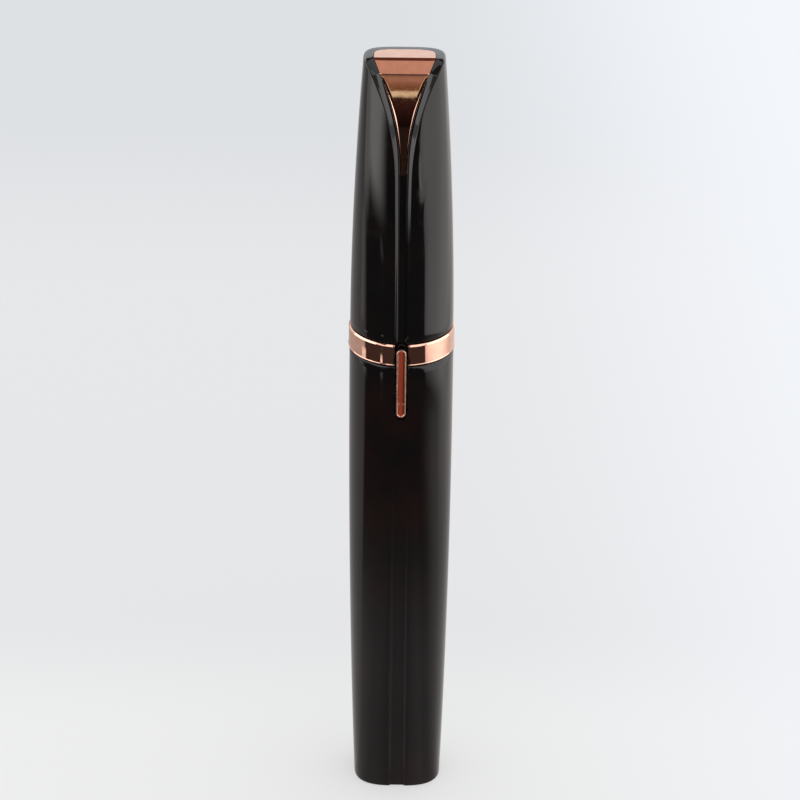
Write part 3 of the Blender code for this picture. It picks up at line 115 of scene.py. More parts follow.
class TrimmerBarrel(bpy.types.PropertyGroup):
    """Sizes of the barrel."""
    foot_half_depth: length("Foot half depth", "Front to back at the foot", 0.00685)
    depth_share: share("Foot depth share", "Depth of the foot as a share of its width", 0.92)
    squareness: plain("Foot squareness", "2 is an ellipse, more is squarer", 2.9)
    taper_power: plain("Taper power", "How late the taper starts on the way down", 2.4)
    foot_round: length("Foot rounding", "Rounding at the flat foot", 0.0003)
    rim_round: length("Rim rounding", "Rounding at the upper rim", 0.00012)
    bore_foot: length("Bore at the foot", "Radius of the bore at its floor", 0.0062)
    bore_top: length("Bore at the top", "Radius of the bore at the rim", 0.00735)
    floor: length("Floor", "Thickness of the floor", 0.0020)
    flute_half_width: length("Flute half width", "Half the width of the front flute", 0.00145)
    flute_floor_half_width: length("Flute floor half width", "Half the width of its floor", 0.00105)
    flute_depth: length("Flute depth", "Depth of the front flute", 0.00028)
    crease_round: length("Crease rounding", "Rounding where the skin turns in to the flute", 0.00012)
    slot_gap: length("Slot gap", "Room beside the switch bar", 0.0003)
    slot_foot_gap: length("Slot foot gap", "Room below the switch bar", 0.00084)


class TrimmerCap(bpy.types.PropertyGroup):
    """Sizes of the cap and of the grooves in it."""
    taper: length("Taper", "How much each side draws in towards the top", 0.00193)
    taper_power: plain("Taper power", "How late the taper starts on the way up", 1.8)
    depth_share: share("Top depth share", "Depth of the top as a share of its width", 0.80)
    squareness: plain("Top squareness", "2 is an ellipse, more is squarer", 3.4)
    rim_round: length("Top rounding", "Rounding round the top", 0.0006)
    slope: turn("Top slope", "How much the top falls away to the back", 6.4)
    mouth_round: length("Mouth rounding", "Rounding at the mouth's outer edge", 0.0002)
    flute_half_width: length("Flute half width", "Half the width of the flute below the inlay", 0.00122)
    flute_floor_half_width: length("Flute floor half width", "Half the width of its floor", 0.00055)
    flute_depth: length("Flute depth", "Depth of the flute below the inlay", 0.0006)
    lapel_drop: length("Lapel drop", "How far below the inlay's tip the lapels start", 0.0022)
    lapel_width: length("Lapel width", "Width of each lapel beside the inlay at the top", 0.00145)
    lapel_power: plain("Lapel power", "How fast the lapels open upwards", 2.35)
    lapel_swell: length("Lapel swell", "How much each lapel bulges", 0.00008)
    crease_round: length("Crease rounding", "Rounding where the skin turns in to the lapel", 0.00022)
    bore_clearance: length("Bore clearance", "Room round the head", 0.0005)


class TrimmerInlay(bpy.types.PropertyGroup):
    """Sizes of the inlay in the cap's front."""
    fold_setback: length("Fold setback", "Fold in front of the pen's axis", 0.0020)
    tip_depth: length("Tip depth", "How deep the tip lies in the flute", 0.00083)
    tip_half_width: length("Tip half width", "Half the width of the round tip", 0.00042)
    power: plain("Power", "How fast the inlay opens upwards", 2.3)
    bend_height_share: share("Bend height share", "Where the face bends, up its height", 0.50)
    bend_setback_share: share("Bend setback share", "Where the face bends, across its depth", 0.714)
    facet: length("Facet", "Height and depth of the facet below the fold", 0.00197)
    back_rim: length("Back rim", "Black rim behind the inlay", 0.0016)
    thickness: length("Thickness", "Thickness of the plate", 0.0005)
    edge_bevel: length("Edge bevel", "Width of the bright bevel round the plate", 0.00006)
    proud: length("Proud", "How far the plate stands out of the cap", 0.00005)
    gap: length("Gap", "Gap between the plate and the cap", 0.00009)
    fold_round: length("Fold rounding", "Rounding of the upper fold", 0.00042)


class TrimmerMetalwork(bpy.types.PropertyGroup):
    """Sizes of the band, the switch bar, the head and the guard."""
    band_wall: length("Band wall", "Wall of the band", 0.0010)
    band_lip: length("Band lip", "Height of the bright slope round the band's upper edge", 0.00030)
    band_reach: length("Band reach", "How much the band is taller than its frame, each way", 0.00012)
    bar_margin: length("Bar margin", "How much the switch bar is narrower than its frame", 0.00005)
    bar_rim: length("Bar rim", "Width of the bright rim round the switch bar", 0.00026)
    bar_dish: length("Bar dish", "Depth of the dish in the switch bar", 0.00024)
    bar_step: length("Bar step", "Length of the shallow end of the dish", 0.0026)
    head_wall: length("Head wall", "Wall of the head", 0.0009)
    head_waist: share("Head waist", "Where the head draws in between neck and top", 0.46)
    head_top: length("Head top", "Radius of the head's upper rim", 0.0035)
    spigot: length("Spigot", "Radius of the spigot in the neck", 0.00499)
    spigot_wall: length("Spigot wall", "Wall of the spigot", 0.0008)
    guard: length("Guard", "Radius of the guard's wall", 0.0031)
    guard_wall: length("Guard wall", "Wall of the guard", 0.00032)
    guard_rim: length("Guard rim", "Height of the guard's rim", 0.0007)
    guard_slots: IntProperty(name="Guard slots", description="Slots in the guard's top", default=10, min=3)
    guard_slot_width: length("Guard slot width", "Width of each slot", 0.00042)
    guard_slot_inner: length("Guard slot inner", "Where each slot starts", 0.0009)
    guard_slot_margin: length("Guard slot margin", "Metal left outside each slot", 0.0007)


class TrimmerColours(bpy.types.PropertyGroup):
    """Colours of the finishes."""
    black: colour("Black", "Gloss black", (0.0040, 0.0038, 0.0040))
    matt: colour("Matt black", "Inner mouldings", (0.020, 0.020, 0.022))
    rose: colour("Rose gold", "Plating of inlay, band and bar", (0.88, 0.51, 0.39))
    lacquer: colour("Lacquer", "Lacquer in the dish of the switch bar", (0.34, 0.048, 0.020))
    gold: colour("Gold", "Plating of the guard", (0.86, 0.66, 0.34))
    steel: colour("Steel", "Motor, plate and screws", (0.62, 0.63, 0.65))
    nickel: colour("Nickel", "Contacts and spring", (0.72, 0.70, 0.66))
    cream: colour("Cream", "Motor cap and coupling", (0.80, 0.77, 0.68))
    white: colour("White", "Bush, hub and spindle", (0.85, 0.85, 0.83))
    jacket: colour("Jacket", "Main colour of the battery's film", (0.05, 0.16, 0.30))
    jacket_end: colour("Jacket end", "End colour of the battery's film", (0.62, 0.34, 0.16))
    board: colour("Board", "Lacquer of the board", (0.03, 0.22, 0.10))
    copper: colour("Copper", "Windings and terminals", (0.72, 0.38, 0.22))
    rubber: colour("Rubber", "Seal", (0.03, 0.03, 0.03))
    red: colour("Red", "Red lead", (0.55, 0.03, 0.03))
    lens: colour("Lens", "Lamp lens", (0.90, 0.92, 0.94))


class TrimmerStage(bpy.types.PropertyGroup):
    """Camera, floor and studio light."""
    distance: length("Camera distance", "From the camera to its target", 0.8)
    elevation: turn("Camera elevation", "Above the floor", 26.815)
    roll: turn("Camera roll", "Tilt of the frame", 0.645)
    lens: plain("Lens", "Focal length in millimetres on a 36 mm sensor", 213.5)
    target: FloatVectorProperty(name="Target", description="What the camera looks at", size=3,
                                default=(-0.00016, 0.0, 0.071915), unit="LENGTH", precision=5)
    floor: colour("Floor", "Floor round the pen", (0.812, 0.812, 0.822))
    floor_front: colour("Floor front", "Floor before the pen", (0.875, 0.875, 0.870))
    floor_back: colour("Floor back", "Floor far behind", (0.742, 0.757, 0.780))
    # Painted light: the floor is painted lighter to the right, where the light falls from.
    floor_right_painted_light: colour("Floor right", "Floor to the right", (0.915, 0.932, 0.967))
    glow_share: share("Glow share", "Share of the floor's brightness that no shadow darkens", 0.55)
    haze: plain("Haze", "World brightness that lights the floor", 0.62)
    sky: plain("Sky", "World brightness that reflections see", 0.96)
    sun: plain("Sun", "Strength of the soft overhead light", 1.25)
    table: plain("Table", "Brightness of the table in reflections", 0.46)
    flag: plain("Flag", "Brightness of the dark flag near the pen", 0.045)
    panel: plain("Panel", "Brightness of the right panel", 1.05)
    softbox: plain("Softbox", "Brightness of the left softbox", 2.6)
    side: plain("Side panels", "Brightness of the panels that the lapels mirror", 2.3)


GROUPS = {
    "trimmer_barrel": TrimmerBarrel,
    "trimmer_cap": TrimmerCap,
    "trimmer_inlay": TrimmerInlay,
    "trimmer_metalwork": TrimmerMetalwork,
    "trimmer_colours": TrimmerColours,
    "trimmer_stage": TrimmerStage,
}


def values(name):
    """One of the property groups on the scene."""
    return getattr(bpy.context.scene, PREFIX + name)


class Link:
    """A shader socket. Sums on it add Math nodes."""

    def __init__(self, tree, socket):
        self.tree = tree
        self.socket = socket

    def maths(self, operation, other=0.0):
        return self.tree.node("Math", {"operation": operation}, {0: self, 1: other})

    def after(self, operation, other):
        return self.tree.node("Math", {"operation": operation}, {0: other, 1: self})

    def __add__(self, other):
        return self.maths("ADD", other)

    def __radd__(self, other):
        return self.after("ADD", other)

    def __sub__(self, other):
        return self.maths("SUBTRACT", other)

    def __rsub__(self, other):
        return self.after("SUBTRACT", other)

    def __mul__(self, other):
        return self.maths("MULTIPLY", other)

    def __rmul__(self, other):
        return self.after("MULTIPLY", other)

    def __pow__(self, other):
        return self.maths("POWER", other)


class Tree:
    """A node tree, and the kinds of node that are added to it."""

    def __init__(self, owner):
        owner.use_nodes = True
        self.nodes = owner.node_tree.nodes
        self.links = owner.node_tree.links

    def plug(self, socket, value):
        """Link a socket, or set it."""
        if isinstance(value, Link):
            self.links.new(value.socket, socket)
        elif socket.type == "RGBA":
            socket.default_value = (*tuple(value)[:3], 1.0)
        else:
            socket.default_value = value

    def node(self, kind, settings=None, sockets=None, output=0):
        """Add a node: its settings first, then its sockets' values or links."""
        made = self.nodes.new("ShaderNode" + kind)
        for name, value in (settings or {}).items():
            if name == "stops":
                self.set_stops(made.color_ramp, value)
            else:
                setattr(made, name, value)
        for key, value in (sockets or {}).items():
            self.plug(made.inputs[key], value)
        return Link(self, made.outputs[output])

    @staticmethod
    def set_stops(ramp, stops):
        """Give a colour ramp its (position, grey or colour) stops."""
        while len(ramp.elements) < len(stops):
            ramp.elements.new(0.5)
        for element, (position, value) in zip(ramp.elements, stops):
            tone = value if isinstance(value, tuple) else (value, value, value)
            element.position = position
            element.color = (*tone, 1.0)

    def place(self, stretch=(1.0, 1.0, 1.0)):
        """The piece's own coordinates, stretched."""
        coordinates = self.node("TexCoord", output="Object")
        return self.node("Mapping", sockets={"Vector": coordinates, "Scale": stretch})

    def outputs(self, kind, names, sockets=None):
        """A new node's outputs of these names."""
        made = self.node(kind, sockets=sockets).socket.node
        return [Link(self, made.outputs[name]) for name in names]

    def axes(self):
        """The piece's own X, Y and Z."""
        return self.outputs("SeparateXYZ", "XYZ", {0: self.node("TexCoord", output="Object")})

    def noise(self, scale, detail=2.0, stretch=(1.0, 1.0, 1.0)):
        """Smooth noise with this many waves a metre."""
        place = self.place(stretch)
        return self.node("TexNoise", sockets={"Vector": place, "Scale": scale, "Detail": detail})

    def ramp(self, value, low, high, bottom=0.0, top=1.0):
        """A value rescaled smoothly from one range to another."""
        return self.node("MapRange", {"interpolation_type": "SMOOTHSTEP"}, {
            "Value": value, "From Min": low, "From Max": high, "To Min": bottom, "To Max": top})

    def window(self, value, low, full, fading, gone):
        """A value's share that rises from low to full and falls from fading to gone."""
        return self.ramp(value, low, full) * (1.0 - self.ramp(value, fading, gone))

    def stops(self, value, reach, points):
        """A colour or number read off (place, value) points along a reach, straight between them."""
        stops = [(place / reach, tone) for place, tone in points]
        return self.node("ValToRGB", {"stops": stops}, {"Fac": value * (1.0 / reach)})

    def blend(self, factor, first, second):
        """A mix of two colours."""
        return self.node("Mix", {"data_type": "RGBA"}, {0: factor, 6: first, 7: second}, 2)

    def toned(self, value, low, high, tone, first, last):
        """A colour scaled by first where a value is low or less, and by last where it is high or more."""
        return self.blend(self.ramp(value, low, high), scaled(tone, first), scaled(tone, last))


class Finish(Tree):
    """One material and its nodes."""

    def __init__(self, name):
        self.material = bpy.data.materials.new(PREFIX + name)
        super().__init__(self.material)
        self.surface = self.nodes["Principled BSDF"].inputs

    def bump(self, height, distance):
        """Relief this many metres high, on the shader's normal."""
        self.plug(self.surface["Normal"], self.node("Bump", sockets={"Height": height, "Distance": distance}))

    def set(self, **sockets):
        """Set or link the Principled shader's sockets, named with underscores."""
        for name, value in sockets.items():
            self.plug(self.surface[name.replace("_", " ")], value)


def scaled(tone, factor):
    """A colour made lighter or darker."""
    return tuple(min(1.0, part * factor) for part in tone)


def gloss_black():
    """Piano black moulding: deep gloss, a trace of moulding waves, finger haze and warm clouds in the base
    colour that are a painted reflection.
    """
    finish = Finish("gloss_black")
    black = tuple(values("colours").black)
    warm = (black[0] * 2.4, black[1] * 1.2, black[2] * 1.1)
    # Painted reflection: warm clouds in the base colour stand in for warm surroundings seen in the gloss.
    warm_reflection_cloud = finish.ramp(finish.noise(90.0, 3.0), 0.42, 0.68)
    haze = finish.ramp(finish.noise(420.0, 4.0), 0.40, 0.75, 0.045, 0.10)
    waves = finish.noise(260.0, 2.0, (1.0, 1.0, 0.12)) + finish.noise(1500.0, 1.0) * 0.04
    finish.set(Base_Color=finish.blend(warm_reflection_cloud, black, warm), Roughness=haze)
    finish.bump(waves, 0.000005)


def moulded(name, tone, roughness, grain=5000.0, relief=0.000012):
    """A moulded plastic or rubber with a fine grain and slightly worn high spots."""
    finish = Finish(name)
    fine = finish.noise(grain, 2.0)
    finish.set(Base_Color=finish.toned(finish.noise(300.0, 3.0), 0.35, 0.7, tone, 0.86, 1.12))
    finish.set(Roughness=finish.ramp(fine, 0.3, 0.7, roughness - 0.06, roughness + 0.08))
    finish.bump(fine, relief)


def plated(name, tone, roughness):
    """Bright plating: a slight orange peel, cloudy haze and darker specks."""
    finish = Finish(name)
    peel = finish.noise(700.0, 2.0)
    speck = finish.ramp(finish.noise(4200.0, 1.0), 0.76, 0.82)
    haze = finish.ramp(finish.noise(1800.0, 3.0), 0.35, 0.7, roughness * 0.7, roughness * 1.4)
    warm = finish.toned(peel, 0.35, 0.65, tone, 0.95, 1.04)
    finish.set(Base_Color=finish.blend(speck, warm, scaled(tone, 0.55)), Metallic=1.0)
    finish.set(Roughness=haze + speck * 0.2)
    finish.bump(peel, 0.000001)


def bar_finish():
    """The switch bar: bright plating round a dish of darker copper lacquer, with painted shade darkening the
    lacquer towards the dish's sides.
    """
    finish = Finish("bar_finish")
    tones = values("colours")
    sizes = values("metalwork")
    across, _, height = finish.axes()
    half_width = BAR_HIGH.x - sizes.bar_margin
    straight = (BAR_HIGH.z - BAR_LOW.z) / 2 - half_width
    rise = (height - (BAR_HIGH.z + BAR_LOW.z) / 2).maths("ABSOLUTE") - straight
    over = rise.maths("MAXIMUM", 0.0)
    reach = (across * across + over * over) ** 0.5
    edge = half_width - sizes.bar_rim
    dish = 1.0 - finish.ramp(reach, edge - 0.00006, edge + 0.00001)
    # Painted shade: the lacquer darkens from a bright stripe near the middle towards the dish's sides, a
    # little off centre.
    side = (across + edge * 0.15).maths("ABSOLUTE")
    lacquer = finish.toned(side, edge * 0.4, edge * 0.9, tones.lacquer, 1.0, 0.22)
    plate = finish.toned(finish.noise(700.0, 2.0), 0.35, 0.65, tones.rose, 0.95, 1.04)
    finish.set(Base_Color=finish.blend(dish, plate, lacquer), Metallic=1.0 - dish)
    finish.set(Roughness=finish.ramp(finish.noise(900.0, 2.0), 0.35, 0.7, 0.26, 0.32) - dish * 0.22)


def brushed(name, tone, roughness):
    """Turned or rolled metal with fine lines round it and faint stains."""
    finish = Finish(name)
    lines = finish.noise(9000.0, 3.0, (0.05, 0.05, 1.0))
    stained = finish.toned(finish.noise(500.0, 3.0), 0.4, 0.75, tone, 1.06, 0.78)
    finish.set(Base_Color=stained, Metallic=1.0)
    finish.set(Roughness=finish.ramp(lines, 0.3, 0.7, roughness - 0.07, roughness + 0.10))
    finish.bump(lines, 0.000004)


def cell_film():
    """The battery's printed film: a metallic main colour, an end band and a thin pale line between them."""
    finish = Finish("cell_film")
    tones = values("colours")
    _, _, height = finish.axes()
    up = (height - CELL_LOW.z) * (1.0 / (CELL_HIGH.z - CELL_LOW.z))
    end = finish.ramp(up, 0.700, 0.701)
    line = finish.ramp(up, 0.685, 0.686) * (1.0 - end)
    mottle = finish.noise(900.0, 3.0)
    main = finish.toned(mottle, 0.3, 0.7, tones.jacket, 0.85, 1.2)
    base = finish.blend(line, finish.blend(end, main, tones.jacket_end), (0.80, 0.80, 0.78))
    finish.set(Base_Color=base, Metallic=0.35, Coat_Weight=finish.ramp(mottle, 0.2, 0.8, 0.5, 0.8))
    finish.set(Roughness=finish.ramp(mottle, 0.3, 0.7, 0.22, 0.34))
    finish.bump(finish.noise(450.0, 2.0, (1.0, 1.0, 0.25)), 0.00002)


def board_lacquer():
    """Green lacquer with raised tracks and small bright pads."""
    finish = Finish("board_lacquer")
    tone = values("colours").board
    across, _, height = finish.axes()
    pitch = 0.0011
    raised = finish.ramp((across + height * 0.35).maths("PINGPONG", pitch), pitch * 0.62, pitch * 0.70)
    spots = finish.node("TexVoronoi", sockets={"Vector": finish.place(), "Scale": 850.0})
    pad = 1.0 - finish.ramp(spots, 0.16, 0.20)
    green = finish.blend(raised, scaled(tone, 0.75), scaled(tone, 1.35))
    finish.set(Base_Color=finish.blend(pad, green, (0.72, 0.70, 0.64)), Metallic=pad)
    finish.set(Roughness=finish.ramp(finish.noise(2600.0), 0.3, 0.7, 0.26, 0.42))
    finish.bump(raised + pad, 0.00003)


def windings():
    """Enamelled copper turns lying side by side, with painted shade darkening the base colour between turns.
    """
    finish = Finish("copper")
    tone = values("colours").copper
    _, depth, _ = finish.axes()
    wire = 0.00008
    # Painted shade: the colour darkens from each wire's crown into the groove beside it.
    crown = finish.ramp(depth.maths("PINGPONG", wire), 0.0, wire)
    finish.set(Base_Color=finish.blend(crown, scaled(tone, 0.35), tone), Metallic=1.0)
    finish.set(Roughness=finish.ramp(finish.noise(3000.0), 0.3, 0.7, 0.24, 0.40))
    finish.bump(crown, 0.00004)


def clear_lens():
    """A clear moulded lens with faint rings."""
    finish = Finish("clear_lens")
    across, _, height = finish.axes()
    rise = height - (LENS_LOW.z + LENS_HIGH.z) / 2
    ring = (across * across + rise * rise) ** 0.5
    finish.set(Base_Color=values("colours").lens, Transmission_Weight=0.85, IOR=1.49)
    finish.set(Roughness=finish.ramp(finish.noise(2500.0), 0.3, 0.7, 0.03, 0.10))
    finish.bump(ring.maths("PINGPONG", 0.00012), 0.4)


def make_finishes():
    """Make every finish that the pieces wear."""
    tones = values("colours")
    for make in (gloss_black, bar_finish, cell_film, board_lacquer, windings, clear_lens):
        make()
    plated("rose_gold", tones.rose, 0.034)
    plated("head_gold", tones.rose, 0.13)
    plated("soft_gold", tones.gold, 0.16)
    plated("nickel", tones.nickel, 0.20)
    brushed("steel", tones.steel, 0.28)
    brushed("terminal_copper", tones.copper, 0.30)
    moulded("matt_black", tones.matt, 0.45, 6500.0, 0.00002)
    moulded("cream_plastic", tones.cream, 0.46)
    moulded("white_plastic", tones.white, 0.36)
    moulded("seal_rubber", tones.rubber, 0.55, 3000.0, 0.00002)
    moulded("red_lead", tones.red, 0.42)
    moulded("black_lead", tones.matt, 0.42)


def wear(data, finish):
    """Give a mesh one finish that make_finishes has made."""
    data.materials.clear()
    data.materials.append(bpy.data.materials[PREFIX + finish])


# Modelling helpers

def clamp(value):
    """A value kept from 0 to 1."""
    return min(1.0, max(0.0, value))


def spread(first, last, steps):
    """Even steps after first, up to last."""
    return [first + (last - first) * step / steps for step in range(1, steps + 1)]


def quarter(steps):
    """1 less the cosine and 1 less the sine, at even steps over a quarter turn."""
    angles = [math.pi / 2 * step / steps for step in range(steps + 1)]
    return [(1 - math.cos(angle), 1 - math.sin(angle)) for angle in angles]


def curve(first, corner, last, steps):
    """Points along an arc from first to last that leaves and arrives in line with a corner."""
    parts = [step / steps for step in range(steps + 1)]
    return [first * (1 - part) ** 2 + corner * 2 * part * (1 - part) + last * part ** 2 for part in parts]


def named(name):
    """The object that an operator has just made, named together with its data."""
    piece = bpy.context.object
    piece.name = name
    piece.data.name = name
    return piece


def deselect():
    bpy.ops.object.select_all(action="DESELECT")


def only(piece):
    """Make a piece the only selected object and the active one."""
    deselect()
    piece.select_set(True)
    bpy.context.view_layer.objects.active = piece


def select_edges(piece, wanted):
    """Enter edit mode with only the edges that pass a test selected."""
    only(piece)
    bpy.ops.object.mode_set(mode="EDIT")
    bpy.ops.mesh.select_mode(type="EDGE")
    bpy.ops.mesh.select_all(action="DESELECT")
    bpy.ops.object.mode_set(mode="OBJECT")
    places = piece.data.vertices
    for edge in piece.data.edges:
        edge.select = wanted(*(places[end].co for end in edge.vertices))
    bpy.ops.object.mode_set(mode="EDIT")


def clean(piece, merge=0.0000005):
    """Merge doubled points and turn every face outwards."""
    only(piece)
    bpy.ops.object.mode_set(mode="EDIT")
    bpy.ops.mesh.select_mode(type="VERT")
    bpy.ops.mesh.select_all(action="SELECT")
    bpy.ops.mesh.remove_doubles(threshold=merge)
    bpy.ops.mesh.normals_make_consistent(inside=False)
    bpy.ops.object.mode_set(mode="OBJECT")
    return piece


def modify(piece, kind, **settings):
    """Add a modifier and apply it."""
    only(piece)
    bpy.ops.object.modifier_add(type=kind)
    modifier = piece.modifiers[-1]
    for name, value in settings.items():
        setattr(modifier, name, value)
    bpy.ops.object.modifier_apply(modifier=modifier.name)


def carve(piece, cutter):
    """Take a cutter out of a piece and throw the cutter away."""
    modify(piece, "BOOLEAN", operation="DIFFERENCE", solver="EXACT", object=cutter)
    bpy.data.objects.remove(cutter)


def soften(piece, width, segments, angle):
    """Round a piece's edges that are sharper than an angle in degrees."""
    modify(piece, "BEVEL", width=width, segments=segments, limit_method="ANGLE",
           angle_limit=math.radians(angle))


def seat(piece, body, slot, finish, *nodes, smooth=32.0):
    """Shade a piece, give it its finish and its body, and put it in place of the nodes it stands for."""
    only(piece)
    bpy.ops.object.shade_smooth_by_angle(angle=math.radians(smooth))
    wear(piece.data, finish)
    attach(piece, body)
    if nodes:
        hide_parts(*nodes)


def tube(name, rings):
    """A closed skin over rings of equally many points, listed turning left, from a subdivided cylinder."""
    columns = len(rings[0])
    reach = len(rings) - 1
    deselect()
    bpy.ops.mesh.primitive_cylinder_add(vertices=columns, radius=1.0, depth=reach, end_fill_type="NGON",
                                        location=(0.0, 0.0, reach / 2))
    piece = named(name)
    bpy.ops.object.transform_apply(location=True, rotation=False, scale=False)
    if reach > 1:
        select_edges(piece, lambda first, second: abs(first.z - second.z) > 0.5)
        bpy.ops.mesh.subdivide(number_cuts=reach - 1)
        bpy.ops.object.mode_set(mode="OBJECT")
    for vertex in piece.data.vertices:
        column = -round(math.atan2(vertex.co.x, vertex.co.y) / math.tau * columns) % columns
        vertex.co = rings[round(vertex.co.z)][column]
    return clean(piece)


def circle(radius, height, count):
    """A level ring of points round the axis."""
    angles = [math.tau * step / count for step in range(count)]
    return [(radius * math.cos(angle), radius * math.sin(angle), height) for angle in angles]


def rounded(corners, steps=4, closed=False):
    """A profile's points, each (radius, height, rounding) corner turned in a small arc."""
    points = []
    last = len(corners) - 1
    for index, (radius, height, rounding) in enumerate(corners):
        here = Vector((radius, height))
        if not rounding or (not closed and index in (0, last)):
            points.append(here)
            continue
        back = Vector(corners[index - 1][:2]) - here
        ahead = Vector(corners[(index + 1) % len(corners)][:2]) - here
        reach = rounding / math.tan(back.angle(ahead) / 2)
        points += curve(here + back.normalized() * reach, here, here + ahead.normalized() * reach, steps)
    return [tuple(point) for point in points]


def turned_solid(name, profile, count):
    """A turned body from its (radius, height) profile, listed upwards, with flat ends."""
    return tube(name, [circle(radius, height, count) for radius, height in profile])


def turned_ring(name, profile, count):
    """A turned body with a hole through it, from its closed (radius, height) profile."""
    deselect()
    bpy.ops.mesh.primitive_torus_add(major_segments=count, minor_segments=len(profile), major_radius=2.0,
                                     minor_radius=1.0)
    piece = named(name)
    for index, vertex in enumerate(piece.data.vertices):
        radius, height = profile[index % len(profile)]
        angle = math.tau * (index // len(profile)) / count
        vertex.co = (radius * math.cos(angle), radius * math.sin(angle), height)
    return clean(piece)


def section_part(half_width, depth_share, squareness, part):
    """A section's half width, half depth and squareness, part of the way from a circle to its last form."""
    half_depth = half_width * (1 - (1 - depth_share) * part ** 2)
    return half_width, half_depth, 2.0 + (squareness - 2.0) * part ** 2


def superellipse(section, angle):
    """The place on a section at an angle turned left from the front."""
    half_width, half_depth, squareness = section
    across = abs(math.sin(angle)) / half_width
    along = abs(math.cos(angle)) / half_depth
    reach = (across ** squareness + along ** squareness) ** (-1 / squareness)
    return Vector((reach * math.sin(angle), -reach * math.cos(angle)))


def front_of(section, x):
    """How far in front of the axis a section's skin lies, beside the middle by x."""
    half_width, half_depth, squareness = section
    return half_depth * max(0.0, 1 - min(1.0, abs(x) / half_width) ** squareness) ** (1 / squareness)


def skin_half(section, floor, wall, rounding, skin_steps, wall_steps, round_steps, swell=0.0):
    """Right half of a fluted section, front to back.

    floor is the (half width, setback) of the flute's floor, wall the half width at the skin.
    """
    floor_corner = Vector((floor[0], -floor[1]))
    crease = Vector((wall, -front_of(section, wall)))
    points = [Vector((0.0, -floor[1])), Vector((floor[0] * 0.5, -floor[1])), floor_corner]
    slope = crease - floor_corner
    along = slope.normalized()
    outward = Vector((along.y, -along.x))
    step_ahead = superellipse(section, math.atan2(crease.x, -crease.y) + 0.01)
    start = crease - along * min(rounding, slope.length * 0.4)
    end = crease + (step_ahead - crease).normalized() * rounding
    for part in spread(0.0, 1.0, wall_steps):
        points.append(floor_corner.lerp(start, part) + outward * (swell * 4 * part * (1 - part)))
    points += curve(start, crease, end, round_steps)[1:]
    angles = spread(math.atan2(end.x, -end.y), math.pi, skin_steps)
    points += [superellipse(section, angle) for angle in angles]
    points[-1].x = 0.0
    return points


def whole_ring(half, height_at):
    """A closed ring from its right half, front to back, with a height for each point."""
    right = [(point.x, point.y, height_at(point)) for point in half]
    left = [(-x, y, z) for x, y, z in reversed(right[1:-1])]
    return right + left


def bore_ring(outer, radius, height):
    """A round ring whose points lie inwards of another ring's points."""
    ring = []
    for x, y, _ in outer:
        reach = math.hypot(x, y)
        ring.append((x / reach * radius, y / reach * radius, height))
    return ring


def capsule(half_width, reach, count, front, middle):
    """A ring of points on an upright slot shape, facing the front, spread evenly along it."""
    straight = reach - 2 * half_width
    bend = math.pi * half_width
    whole = 2 * (straight + bend)
    points = []
    for step in range(count):
        way = whole * step / count
        side = 1
        if way >= whole / 2:
            way -= whole / 2
            side = -1
        if way < straight:
            x = half_width
            z = way - straight / 2
        else:
            angle = (way - straight) / half_width
            x = half_width * math.cos(angle)
            z = straight / 2 + half_width * math.sin(angle)
        points.append((side * x, -front, middle + side * z))
    return points


# The barrel

def barrel_section(height):
    """The barrel's section at a height."""
    sizes = values("barrel")
    down = max(0.0, 1 - height / BARREL_TOP)
    foot = sizes.foot_half_depth / sizes.depth_share
    half_width = BARREL_HALF_WIDTH - (BARREL_HALF_WIDTH - foot) * down ** sizes.taper_power
    return section_part(half_width, sizes.depth_share, sizes.squareness, down)


def barrel_ring(height, inset=0.0):
    """One ring of the barrel's outside."""
    sizes = values("barrel")
    half_width, half_depth, squareness = barrel_section(height)
    section = (half_width - inset, half_depth - inset, squareness)
    setback = half_depth - sizes.flute_depth - inset
    half = skin_half(section, (sizes.flute_floor_half_width, setback), sizes.flute_half_width,
                     sizes.crease_round, skin_steps=54, wall_steps=3, round_steps=3)
    return whole_ring(half, lambda point: height)


def slot_cutter():
    """A tool for the switch slot, open upwards and flared from the barrel's skin outwards."""
    sizes = values("barrel")
    half_width = BAR_HIGH.x + sizes.slot_gap
    foot = BAR_LOW.z - sizes.slot_foot_gap
    above = 0.004
    reach = 2 * (BARREL_TOP + above - foot)
    middle = foot + reach / 2
    flare_start = BARREL_HALF_WIDTH - 0.00012
    flare_end = BAND_RADIUS + 0.001
    flare = 0.0008
    layers = ((0.0, sizes.bore_foot / 2), (0.0, flare_start), (flare, flare_end))
    columns = 48
    return tube("slot", [capsule(half_width + wider, reach + 2 * wider, columns, front, middle)
                         for wider, front in layers])


class TRIMMER_OT_barrel(bpy.types.Operator):
    """Model the barrel with its flute, bore and switch slot"""
    bl_idname = "trimmer.barrel"
    bl_label = "Barrel"

    def execute(self, context):
        sizes = values("barrel")
        foot = sizes.foot_round
        rim = sizes.rim_round
        skin_top = BARREL_TOP - rim
        rings = [barrel_ring(foot * rise, foot * inset) for rise, inset in quarter(4)]
        rings += [barrel_ring(height) for height in spread(foot, skin_top, 64)]
        rings += [barrel_ring(BARREL_TOP - rim * drop, rim * inset) for inset, drop in quarter(3)[1:]]
        outer = rings[-1]
        rings.append(bore_ring(outer, sizes.bore_top + rim, BARREL_TOP))
        for part in (0.0, *spread(0.0, 1.0, 12)):
            radius = sizes.bore_top + (sizes.bore_foot - sizes.bore_top) * part
            rings.append(bore_ring(outer, radius, skin_top + (sizes.floor - skin_top) * part))
        barrel = tube("barrel", rings)
        carve(barrel, slot_cutter())
        seat(barrel, "barrel", "gloss_black", "gloss_black", "barrel_shell")
        return {"FINISHED"}


# The cap

